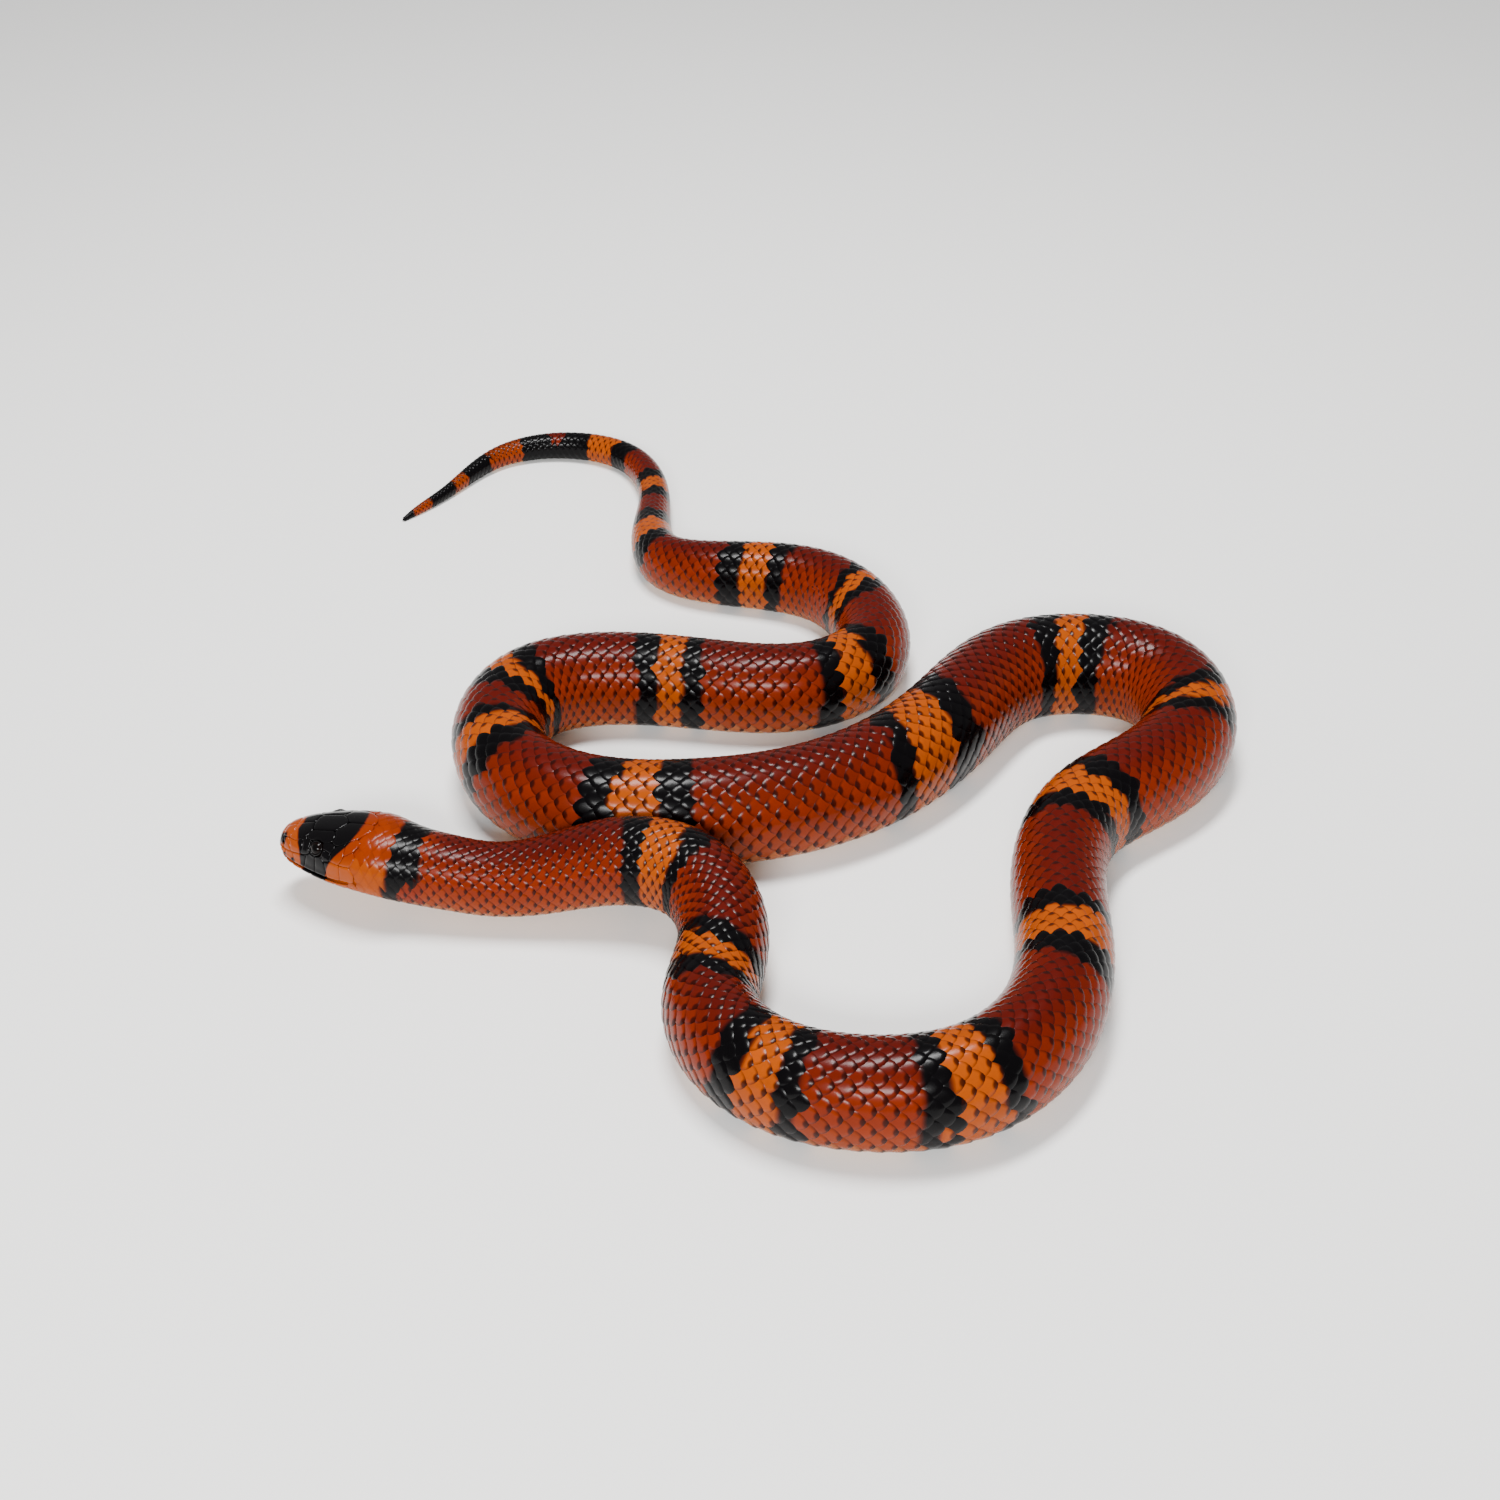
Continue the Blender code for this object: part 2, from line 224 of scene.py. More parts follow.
class Body:
    """The animal's surface as a fine grid of points, read by distance and by the place round the body."""

    SAMPLES = 4000
    HEAD_ROWS = 240
    ROW_STEP = 0.5
    COLUMNS = 321

    def __init__(self):
        self.measure_route()
        head = HEAD_END * np.linspace(0.01, 1, self.HEAD_ROWS) ** 2
        self.rows = np.concatenate([head, np.arange(HEAD_END + self.ROW_STEP, self.length, self.ROW_STEP)])
        self.sections = self.section(self.rows)
        self.columns = np.linspace(-1, 1, self.COLUMNS)
        self.points = self.grid()
        self.normals = self.outward(self.points)
        self.points = self.points + self.relief()[:, :, None] * self.normals
        self.normals = self.outward(self.points)

    def measure_route(self):
        route = np.array(ROUTE, float) - MIDDLE
        chords = running_length(route)
        line = smooth_curve(chords, route, np.linspace(0, chords[-1], self.SAMPLES))
        length = running_length(line)
        self.length = length[-1]
        self.at = np.linspace(0, self.length, self.SAMPLES)
        self.line = np.stack([np.interp(self.at, length, line[:, k]) for k in (0, 1)], 1)
        tangent = np.gradient(self.line, self.at, axis=0)
        self.angle = np.unwrap(np.arctan2(tangent[:, 1], tangent[:, 0]))

    def section(self, distance):
        """Half the width, then the heights of the crown, of the widest level and of the underside."""
        rows = [np.array(HEAD_AND_NECK, float)]
        for place, width in GIRTH:
            height = TALL * width
            rows.append(np.array([[place, width / 2, height, WIDEST_LEVEL * height, 0]]))
        rows = np.concatenate(rows)
        found = smooth_curve(np.sqrt(rows[:, 0]), rows[:, 1:], np.sqrt(distance))
        found[:, 3] = np.maximum(found[:, 3], 0)
        return found

    def grid(self):
        """Points on the smooth body, spaced evenly round its upper and its lower half."""
        half, top, side, under = (column[:, None] for column in self.sections.T)
        to_round = ease(14, HEAD_END, self.rows)[:, None]
        square = CROWN_SQUARE + (ROUND - CROWN_SQUARE) * to_round
        low_square = ROUND + (BELLY_SQUARE - ROUND) * to_round
        flat = 1 + (BELLY_FLAT - 1) * to_round
        turn = np.radians(np.linspace(90, -90, 721))[None, :]
        c, s = np.abs(np.cos(turn)), np.abs(np.sin(turn))
        upper = turn >= 0
        across = half * c ** (2 / np.where(upper, square, low_square))
        rise = side + (top - side) * s ** (2 / square)
        drop = side - (side - under) * np.minimum(flat * s ** (2 / low_square), 1)
        height = np.where(upper, rise, drop)
        step = np.hypot(np.diff(across, axis=1), np.diff(height, axis=1))
        arc = np.concatenate([np.zeros((len(self.rows), 1)), np.cumsum(step, axis=1)], axis=1)
        middle = turn.shape[1] // 2
        self.upper_arc, self.lower_arc = arc[:, middle], arc[:, -1] - arc[:, middle]
        share = np.where(
            upper, 0.5 * arc / self.upper_arc[:, None],
            0.5 + 0.5 * (arc - self.upper_arc[:, None]) / self.lower_arc[:, None],
        )
        place = np.abs(self.columns)
        out = np.stack([np.interp(place, share[i], across[i]) for i in range(len(self.rows))])
        up = np.stack([np.interp(place, share[i], height[i]) for i in range(len(self.rows))])
        heading = np.interp(self.rows, self.at, self.angle)
        right = np.stack([-np.sin(heading), np.cos(heading)], 1)
        centre = np.stack([np.interp(self.rows, self.at, self.line[:, k]) for k in (0, 1)], 1)
        points = np.zeros((len(self.rows), len(self.columns), 3))
        points[:, :, :2] = centre[:, None] + (out * np.sign(self.columns))[:, :, None] * right[:, None]
        points[:, :, 2] = up
        return points

    def outward(self, points):
        along = np.gradient(points, self.rows, axis=0)
        ahead = np.concatenate([points[:, 1:], points[:, 1:2]], axis=1)
        behind = np.concatenate([points[:, -2:-1], points[:, :-1]], axis=1)
        normal = np.cross(along, ahead - behind)
        normal /= np.maximum(np.linalg.norm(normal, axis=2), 1e-9)[:, :, None]
        normal[:, -1] = normal[:, 0]
        return normal

    def relief(self):
        """How far the head's own forms stand out from the plain surface."""
        distance, place = self.rows[:, None], np.abs(self.columns)[None, :]
        half_arc = 2 * np.where(place < 0.5, self.upper_arc[:, None], self.lower_arc[:, None])
        from_lip = (place - 0.5) * half_arc
        fade = 1 - ease(MOUTH_END - MOUTH_FADE, MOUTH_END, distance)
        depth, width = MOUTH_GROOVE
        out = -depth * fade * np.exp(-((from_lip / width) ** 2))
        rise, off, width = LIP_ROLL
        out += rise * fade * np.exp(-(((np.abs(from_lip) - off) / width) ** 2))
        near = self.rows < HEAD_END
        points = self.points[near]
        for side in (1, -1):
            eye, way = self.side_frame(EYE_DISTANCE, EYE_HEIGHT, side)
            reach = distance_from_line(points, eye, way)
            depth, inner, outer = EYE_HOLLOW
            out[near] -= depth * (1 - ease(EYE_OPENING - inner, EYE_OPENING + outer, reach))
            rise, off, width = EYE_SWELL
            out[near] += rise * np.exp(-(((reach - EYE_OPENING - off) / width) ** 2))
            nostril, way = self.side_frame(NOSTRIL_DISTANCE, NOSTRIL_HEIGHT, side)
            depth, width = NOSTRIL_PIT
            out[near] -= depth * np.exp(-((distance_from_line(points, nostril, way) / width) ** 4))
        return out

    def side_frame(self, distance, height, side):
        """A point on the side of the head at that height, and the way out of it. side is +1 for the right."""
        half, top, level, under = self.section(np.array([distance]))[0]
        lift = (height - level) / (top - level)
        across = half * (1 - lift**CROWN_SQUARE) ** (1 / CROWN_SQUARE)
        heading = np.interp(distance, self.at, self.angle)
        forward = np.array([math.cos(heading), math.sin(heading), 0])
        out = np.array([-math.sin(heading), math.cos(heading), 0]) * side
        centre = np.array([np.interp(distance, self.at, self.line[:, k]) for k in (0, 1)] + [height])
        rise = lift ** (CROWN_SQUARE - 1) * half / (top - level)
        run = (across / half) ** (CROWN_SQUARE - 1)
        ends = self.section(np.array([distance - 0.5, distance + 0.5]))[:, 0]
        way = (out - (ends[1] - ends[0]) * forward) * run + np.array([0, 0, rise])
        return centre + across * out, way / np.linalg.norm(way)

    def read(self, grid, distance, place):
        """The grid's values between its rows and columns."""
        place = (np.asarray(place, float) + 1) % 2 - 1
        row = np.clip(np.interp(distance, self.rows, np.arange(len(self.rows))), 0, len(self.rows) - 1.001)
        column = np.clip((place + 1) / 2 * (len(self.columns) - 1), 0, len(self.columns) - 1.001)
        i, j = row.astype(int), column.astype(int)
        a, b = (row - i)[..., None], (column - j)[..., None]
        near = grid[i, j] * (1 - b) + grid[i, j + 1] * b
        far = grid[i + 1, j] * (1 - b) + grid[i + 1, j + 1] * b
        return near * (1 - a) + far * a

    def surface(self, distance, place, out=0.0):
        """Points in millimetres, out from the smooth surface."""
        normal = self.read(self.normals, distance, place)
        normal /= np.linalg.norm(normal, axis=-1)[..., None]
        return self.read(self.points, distance, place) + np.asarray(out)[..., None] * normal

    def round_scale(self, distance, place):
        """Millimetres round the body for one unit of place."""
        upper = np.interp(distance, self.rows, self.upper_arc)
        lower = np.interp(distance, self.rows, self.lower_arc)
        return 2 * np.where(np.abs(place) < 0.5, upper, lower)

    def stretch(self, distance, place):
        """How much longer the surface is than the middle line where the body bends."""
        half = np.interp(distance, self.rows, self.sections[:, 0])
        bend = np.interp(distance, self.at, np.gradient(self.angle, self.at))
        return np.clip(1 - bend * half * np.sin(np.pi * np.asarray(place)), *STRETCH_LIMITS)


BODY = Body()

# Distance and the spacing of the scales along the body.
SPACING = (
    (20, 2.2), (30, 2.4), (45, 3.0), (74, 3.4), (120, 3.6), (160, 3.8), (200, 4.2), (300, 4.1),
    (450, 4.2), (560, 4.5), (620, 4.5), (720, 4.1), (811, 3.9), (852, 3.4), (900, 3.0), (940, 2.7),
    (980, 2.3), (1010, 1.9), (1030, 1.4), (1040, 1.1),
)
# Scales that are spaced closer than this are thinner in proportion, and those of the nape are thinner still.
FULL_SPACING = 4.0
NAPE_THIN = (30, 60)
LATTICE_STEP = 0.25
LATTICE_START = 16.0
LATTICE_LEFT = 1.5
HALF_ROWS = 11
BELLY_START = 34.0
VENT = 872.0
BELLY_EDGE = 0.73
# The rows are narrower along the back and wider on the flanks.
BACK_ROW = 0.84
# Where two rows on each side end, so that the tail has fewer rows, and the width at which a row is dropped.
ROW_ENDS = (800.0, 878.0, 925.0, 985.0)
ROW_END_LENGTH = 14.0
LEAST_WIDTH = 0.22
# Place round the body, and the distance where small scales begin behind the head shields.
NAPE_EDGE = (
    (0.0, 27.7), (0.08, 27.3), (0.15, 25.9), (0.2, 25.6), (0.26, 24.9), (0.3, 25.0), (0.36, 24.4),
    (0.44, 25.1), (0.5, 25.2), (0.56, 23.4), (0.62, 21.7), (0.7, 18.8), (0.8, 17.4), (1.0, 17.0),
)
# The scales' feet lie this far under the smooth surface, and the skin a little deeper. Both come closer to it
# where the tail is thin.
FOOT_DEPTH = 0.42
SKIN_CLEAR = 0.1
THIN_TAIL = (1000, 1034)
THIN_TAIL_LOSS = 0.8
# Shares of a scale's thickness: the height of its foot, the swell of its middle and the drop at its rim.
FOOT_HEIGHT = 0.12
DOME = 0.24
RIM_DROP = 0.42
# Millimetres: how far the underside lies below the foot, and how much higher the nape's scales lie, so that
# they meet the shields.
UNDERSIDE = 0.12
NAPE_RISE = 0.28
NAPE_FADE = (27, 40)
# How much the scales vary in size and in their lie, and how ragged a ring's edge is, as shares of a scale.
SIZE_SPREAD = 0.025
LIE_SPREAD = 0.03
RAGGED = 0.16
# A belly plate: half its length as a share of the spacing, its thickness, the height of its foot and of its
# hind edge and the drop at its rim as shares of that, its underside, and how far it reaches past the scales.
PLATE_LENGTH = 0.66
PLATE_THICKNESS = 0.36
PLATE_FULL_SPACING = 3.5
PLATE_FOOT = 0.1
PLATE_RISE = 0.8
PLATE_RIM_DROP = 0.35
PLATE_UNDERSIDE = 0.1
PLATE_OVERLAP = 0.035
PAIR_OVERLAP = 0.03
FLOOR_CLEAR = 0.02
# Ahead of this distance the scales have no dark tips.
NO_SPOTS = 33.5
# The skin's unwrap is cut into strips. A scale's patch on it is 0.003 across.
STRIPS = 4
HALF_PATCH = 0.0015
SHARP_EDGE = math.radians(60)
# The skin's grid: rows on the head, the step on the body, rows on the thin end of the tail, and columns.
SKIN_HEAD_ROWS = 130
SKIN_STEP = 2.0
SKIN_TAIL = 980
SKIN_TAIL_ROWS = 50
SKIN_COLUMNS = 125


def spacing(distance):
    at, size = np.array(SPACING).T
    return np.interp(distance, at, size)


def tail_share(distance):
    """1 on the body, and less where the tail is thin."""
    return 1 - THIN_TAIL_LOSS * ease(*THIN_TAIL, distance)


def lattice(start, end):
    """Distances along the body, and how many scales lie ahead of each."""
    along = np.arange(start, end, LATTICE_STEP)
    steps = LATTICE_STEP / spacing(along[:-1] + LATTICE_STEP / 2)
    return along, np.concatenate([[0], np.cumsum(steps)])


def strip_place(distance, place, strip=None):
    """Where a point of the skin lies on its unwrap, which is cut into strips, one above another."""
    length = BODY.length / STRIPS
    if strip is None:
        strip = np.clip((distance / length).astype(int), 0, STRIPS - 1)
    u = 0.01 + 0.98 * (distance - strip * length) / length
    v = (strip + 0.02 + 0.96 * (place + 1) / 2) / STRIPS
    return np.stack([u, v], -1)


def ring_edges(place):
    """The start of the first black, both ends of the orange and the end of the second black, of each ring."""
    lean = np.sin(np.pi * np.asarray(place))[..., None]
    rings = np.array(RINGS)
    return [rings[:, k] + rings[:, 4] * lean for k in range(4)]


# Place round the head, then where the black cap starts and ends and where the nape band starts and ends.
HEAD_BANDS = (
    (0.0, 6.6, 24.0, 32.6, 39.4),
    (0.1, 6.3, 23.6, 33.0, 39.4),
    (0.2, 7.2, 22.2, 32.8, 40.0),
    (0.25, 7.6, 20.7, 32.8, 40.3),
    (0.3, 8.2, 19.1, 32.9, 40.4),
    (0.35, 8.4, 17.8, 32.8, 40.3),
    (0.4, 8.6, 17.0, 32.6, 39.6),
    (0.5, 8.8, 16.3, 31.7, 36.2),
    (0.6, 9.2, 15.6, 30.7, 34.6),
    (0.7, 10.2, 14.6, 30.5, 34.4),
    (0.8, 11.5, 12.5, 30.8, 34.0),
    (1.0, 12.0, 11.0, 31.2, 33.8),
)
# The black spot on each side of the snout's tip: where it ends, and its edges round the head.
SNOUT_SPOT = 3.3
SNOUT_SPOT_TOP = (0.12, 0.17)
SNOUT_SPOT_LOW = (0.36, 0.31)
SNOUT_TIP = 1.0
# Distance and place of small dark marks on the seams of the front lip shields, and half their size each way.
LIP_MARKS = ((3.4, 0.46), (6.2, 0.46), (3.1, 0.57), (5.5, 0.56))
LIP_MARK_SIZE = (0.7, 0.03)
# The share of orange on the crown of the snout and of the collar, and how much more there is on their sides.
SNOUT_ORANGE = (0.75, 0.2)
COLLAR_ORANGE = (0.16, 0.94)
HEAD_SIDE = (0.27, 0.4)
FLANK_ORANGE = 0.42
FLANK = (0.34, 0.68)
FLANK_START = 40
# The end of the tail is a redder orange, and its last black has one red spot on the back.
TAIL_FADE = (955, 985)
TAIL_LOSS = 0.5
TAIL_END = 979.6
TAIL_ORANGE = 0.35
RED_SPOT = 966.5
RED_SPOT_SIZE = (3.2, 0.28)
BELLY_PALE = (0.66, 0.8)
BEFORE, BEYOND = -1.0, 1200.0
EDGE_SOFTNESS = 0.12


def inside(at, low, high, softness):
    """1 from one distance to another and 0 outside them, with soft ends."""
    return ease(-softness, softness, at - low) * ease(-softness, softness, high - at)


def marking(distance, place, softness=EDGE_SOFTNESS):
    """Shares of black, of orange and of pale belly colour, from 0 to 1, for each point or scale."""
    distance, place = np.broadcast_arrays(np.asarray(distance, float), np.asarray(place, float))
    side = np.abs(place)
    at = distance[..., None]
    first, start, end, last = ring_edges(place)
    orange = inside(at, start, end, softness).max(axis=-1)
    ahead, behind = inside(at, first, start, softness), inside(at, end, last, softness)
    black = np.maximum(ahead, behind).max(axis=-1)

    bands = np.array(HEAD_BANDS).T
    cap_start, cap_end, nape_start, nape_end = (np.interp(side, bands[0], band) for band in bands[1:])
    spot = inside(distance, BEFORE, SNOUT_SPOT, softness)
    spot = spot * ease(*SNOUT_SPOT_TOP, side) * ease(*SNOUT_SPOT_LOW, side)
    for share in (
        inside(distance, cap_start, cap_end, softness),
        inside(distance, nape_start, nape_end, softness),
        inside(distance, BEFORE, SNOUT_TIP, softness),
        spot,
    ):
        black = np.maximum(black, share)
    for mark_distance, mark_place in LIP_MARKS:
        length, width = LIP_MARK_SIZE
        near = ((distance - mark_distance) / length) ** 2 + ((side - mark_place) / width) ** 2
        black = np.maximum(black, ease(1.4, 0.6, near))

    lower = ease(*HEAD_SIDE, side)
    for low, high, (crown, more) in (
        (BEFORE, cap_start, SNOUT_ORANGE), (cap_end, nape_start, COLLAR_ORANGE),
    ):
        orange = np.maximum(orange, inside(distance, low, high, softness) * (crown + more * lower))
    orange = np.maximum(orange, FLANK_ORANGE * ease(*FLANK, side) * (distance > FLANK_START))
    orange = orange * (1 - TAIL_LOSS * ease(*TAIL_FADE, distance))
    orange = np.maximum(orange, TAIL_ORANGE * inside(distance, TAIL_END, BEYOND, softness))
    length, width = RED_SPOT_SIZE
    red = np.exp(-(((distance - RED_SPOT) / length) ** 2) - (side / width) ** 2) > 0.4
    return np.where(red, 0.0, black), np.where(red, 0.0, orange), ease(*BELLY_PALE, side)


def new_object(name, verts, loops, sizes):
    """A mesh object from points in millimetres, the corners of its faces in a row and each face's count."""
    mesh = bpy.data.meshes.new(name)
    mesh.vertices.add(len(verts))
    mesh.vertices.foreach_set("co", (verts * MM).astype(np.float32).reshape(-1))
    mesh.loops.add(len(loops))
    mesh.loops.foreach_set("vertex_index", loops.astype(np.int32))
    mesh.polygons.add(len(sizes))
    starts = np.concatenate([[0], np.cumsum(sizes)[:-1]])
    mesh.polygons.foreach_set("loop_start", starts.astype(np.int32))
    mesh.update(calc_edges=True)
    mesh.validate()
    obj = bpy.data.objects.new(name, mesh)
    bpy.context.scene.collection.objects.link(obj)
    return obj


def add_uv(mesh, name, values):
    """A UV map with one place for each face corner."""
    layer = mesh.uv_layers.new(name=name)
    layer.data.foreach_set("uv", values.astype(np.float32).reshape(-1))


def add_marking(mesh, distance, place, shade, softness=EDGE_SOFTNESS, rim=None):
    """Gives each point its markings, how light its scale is, how near the back it is and how near a rim."""
    black, orange, pale = marking(distance, place, softness)
    shares = np.stack([black, orange, pale, np.ones_like(black)], -1)
    layer = mesh.color_attributes.new("marking", "FLOAT_COLOR", "POINT")
    layer.data.foreach_set("color", shares.astype(np.float32).reshape(-1))
    if rim is None:
        rim = np.zeros(len(shade))
    # The red is darker along the back, but not on the head.
    side = np.maximum(np.abs(place), 0.4 * (1 - ease(36, 50, distance)))
    for name, values in (("shade", shade), ("round", side), ("rim", rim)):
        layer = mesh.attributes.new(name, "FLOAT", "POINT")
        layer.data.foreach_set("value", values.astype(np.float32).reshape(-1))


def deselect_all():
    for obj in bpy.context.view_layer.objects:
        obj.select_set(False)


def select_only(obj):
    deselect_all()
    obj.select_set(True)
    bpy.context.view_layer.objects.active = obj


def scale_roots():
    """Distance, place, narrowing and the place between its rows, for every small scale."""
    along, count = lattice(LATTICE_START, BODY.length - LATTICE_LEFT)
    edge_place, edge_at = np.array(NAPE_EDGE).T
    found = []
    for row in range(-HALF_ROWS - 4, HALF_ROWS + 5):
        number = abs(row)
        steps = np.arange(0.5 * (number % 2), count[-1])
        distance = np.interp(steps, count, along)
        index = np.full(len(distance), float(number))
        total = np.full(len(distance), HALF_ROWS + 0.5)
        narrow = np.ones(len(distance))
        for n, end in enumerate(ROW_ENDS):
            gone = ease(end - ROW_END_LENGTH, end + ROW_END_LENGTH, distance)
            inner, outer = 5 - n, 6 + n
            shift = 2.0 * (number > outer) + 1.5 * (number == outer) + 0.5 * (number == inner)
            index -= shift * gone
            total -= 2.0 * gone
            if number in (inner, outer):
                narrow *= 1 - gone
            elif inner < number < outer:
                narrow *= gone < 0.01
        share = index / total
        place = BELLY_EDGE * (BACK_ROW * share + (1 - BACK_ROW) * share**2)
        keep = (narrow > LEAST_WIDTH) & (place < 0.985)
        keep &= distance > np.interp(place, edge_place, edge_at)
        if number > HALF_ROWS:
            keep &= distance < BELLY_START
        side = np.sign(row) if row else 1
        step = BELLY_EDGE / total * (BACK_ROW + 2 * (1 - BACK_ROW) * share)
        found.append(np.stack([distance, place * side, narrow, step], 1)[keep])
    return np.concatenate(found)


def tile(x_cells, y_cells):
    """A flat closed tile modelled from a grid. Its upper face is divided and its lower face is whole."""
    deselect_all()
    bpy.ops.mesh.primitive_grid_add(x_subdivisions=x_cells, y_subdivisions=y_cells, size=2)
    obj = bpy.context.object
    mesh = obj.data
    bpy.ops.object.mode_set(mode="EDIT")
    bpy.context.tool_settings.mesh_select_mode = (False, False, True)
    bpy.ops.mesh.select_all(action="SELECT")
    bpy.ops.mesh.extrude_region_move(TRANSFORM_OT_translate={"value": (0, 0, 1)})
    bpy.ops.mesh.select_all(action="DESELECT")
    bpy.ops.object.mode_set(mode="OBJECT")
    for polygon in mesh.polygons:
        polygon.select = polygon.center.z < 0.01
    bpy.ops.object.mode_set(mode="EDIT")
    bpy.ops.mesh.dissolve_faces()
    bpy.ops.mesh.select_all(action="SELECT")
    bpy.ops.mesh.normals_make_consistent(inside=False)
    bpy.ops.object.mode_set(mode="OBJECT")
    verts = np.array([vertex.co for vertex in mesh.vertices], float)
    loops = np.array([loop.vertex_index for loop in mesh.loops])
    sizes = np.array([polygon.loop_total for polygon in mesh.polygons])
    bpy.data.objects.remove(obj)
    return verts, loops, sizes


def scale_template(cells, roundness):
    """A rounded rhomb with its tip at +X, from -1 to 1 each way. The last column is 1 along its rim."""
    verts, loops, sizes = tile(cells, cells)
    verts[:, :2] = np.sign(verts[:, :2]) * (1 - (1 - np.abs(verts[:, :2])) ** 1.5)
    u, v = (verts[:, 0] + verts[:, 1]) / 2, (verts[:, 0] - verts[:, 1]) / 2
    plain = np.abs(u) + np.abs(v)
    swell = plain / np.maximum((np.abs(u) ** roundness + np.abs(v) ** roundness) ** (1 / roundness), 1e-9)
    # The turned axes make the rhomb a mirror image, so its faces are turned round.
    flipped = np.concatenate([part[::-1] for part in np.split(loops, np.cumsum(sizes)[:-1])])
    return np.stack([u * swell, v * swell, verts[:, 2], plain], 1), flipped, sizes


def plate_template():
    """A wide plate of the belly with rounded hind corners."""
    verts, loops, sizes = tile(4, 14)
    u, v = verts[:, 0], verts[:, 1]
    rim = np.maximum(np.abs(u), np.abs(v))
    return np.stack([u * (1 - 0.25 * v**6), v, verts[:, 2], rim], 1), loops, sizes


def tiled_object(name, template, points, distance, place):
    """Copies of one modelled tile in one mesh, each with its own patch of the OFBake map."""
    shape, loops, sizes = template
    count = len(distance)
    all_loops = (loops[None] + len(shape) * np.arange(count)[:, None]).reshape(-1)
    obj = new_object(name, points.reshape(-1, 3), all_loops, np.tile(sizes, count))
    tile_of = all_loops // len(shape)
    local = shape[np.tile(loops, count), :2]
    add_uv(obj.data, "OFBake", strip_place(distance, place)[tile_of] + HALF_PATCH * local)
    obj.data.shade_smooth()
    obj.data.set_sharp_from_angle(angle=SHARP_EDGE)
    return obj, tile_of, local


def coat_piece(name, template, roots, half_length, half_width, thickness, seed):
    """Copies of one modelled scale, laid on the body as shingles and joined in one mesh."""
    random = np.random.default_rng(seed)
    count = len(roots)
    distance, place = roots[:, 0], roots[:, 1]
    u, v, top, plain = template[0].T
    vary = 1 + random.normal(0, SIZE_SPREAD, (count, 2))
    tilt = random.normal(0, LIE_SPREAD, count)
    reach = half_length * vary[:, 0] / np.sqrt(BODY.stretch(distance, place))
    span = half_width * vary[:, 1]
    at = distance[:, None] + reach[:, None] * (u[None] + tilt[:, None] * v[None])
    at = np.clip(at, 0.3, BODY.length - 0.05)
    side = place[:, None] + (span / BODY.round_scale(distance, place))[:, None] * v[None]
    profile = FOOT_HEIGHT + (1 - FOOT_HEIGHT) * ease(-1.15, 1.0, u)
    profile += DOME * (1 - v**2) * (1 - 0.5 * u**2) - RIM_DROP * ease(0.8, 1.0, plain)
    raised = NAPE_RISE * (1 - ease(*NAPE_FADE, distance))[:, None]
    height = np.where(top > 0.5, thickness[:, None] * profile + raised, -UNDERSIDE)
    points = BODY.surface(at, side, height - FOOT_DEPTH * tail_share(at))
    obj, scale_of, local = tiled_object(name, template, points, distance, place)
    plain_scale = (distance < NO_SPOTS)[scale_of, None]
    add_uv(obj.data, "scale_place", np.where(plain_scale, (0.2, 0.5), (local + 1) / 2))
    shade = np.repeat(random.normal(0, 1, count), len(u))
    # The edge of a ring runs through some scales and is a little ragged, as pigment is.
    ragged = distance + random.normal(0, RAGGED, count) * spacing(distance) * ease(20, 40, distance)
    marked = (ragged[:, None] + 0.4 * (at - distance[:, None])).reshape(-1)
    # How near each point lies to its scale's rim, which the material darkens as painted shade.
    rim = np.tile(plain * top, count)
    add_marking(obj.data, marked, np.repeat(place, len(u)), shade, softness=0.3, rim=rim)
    return obj


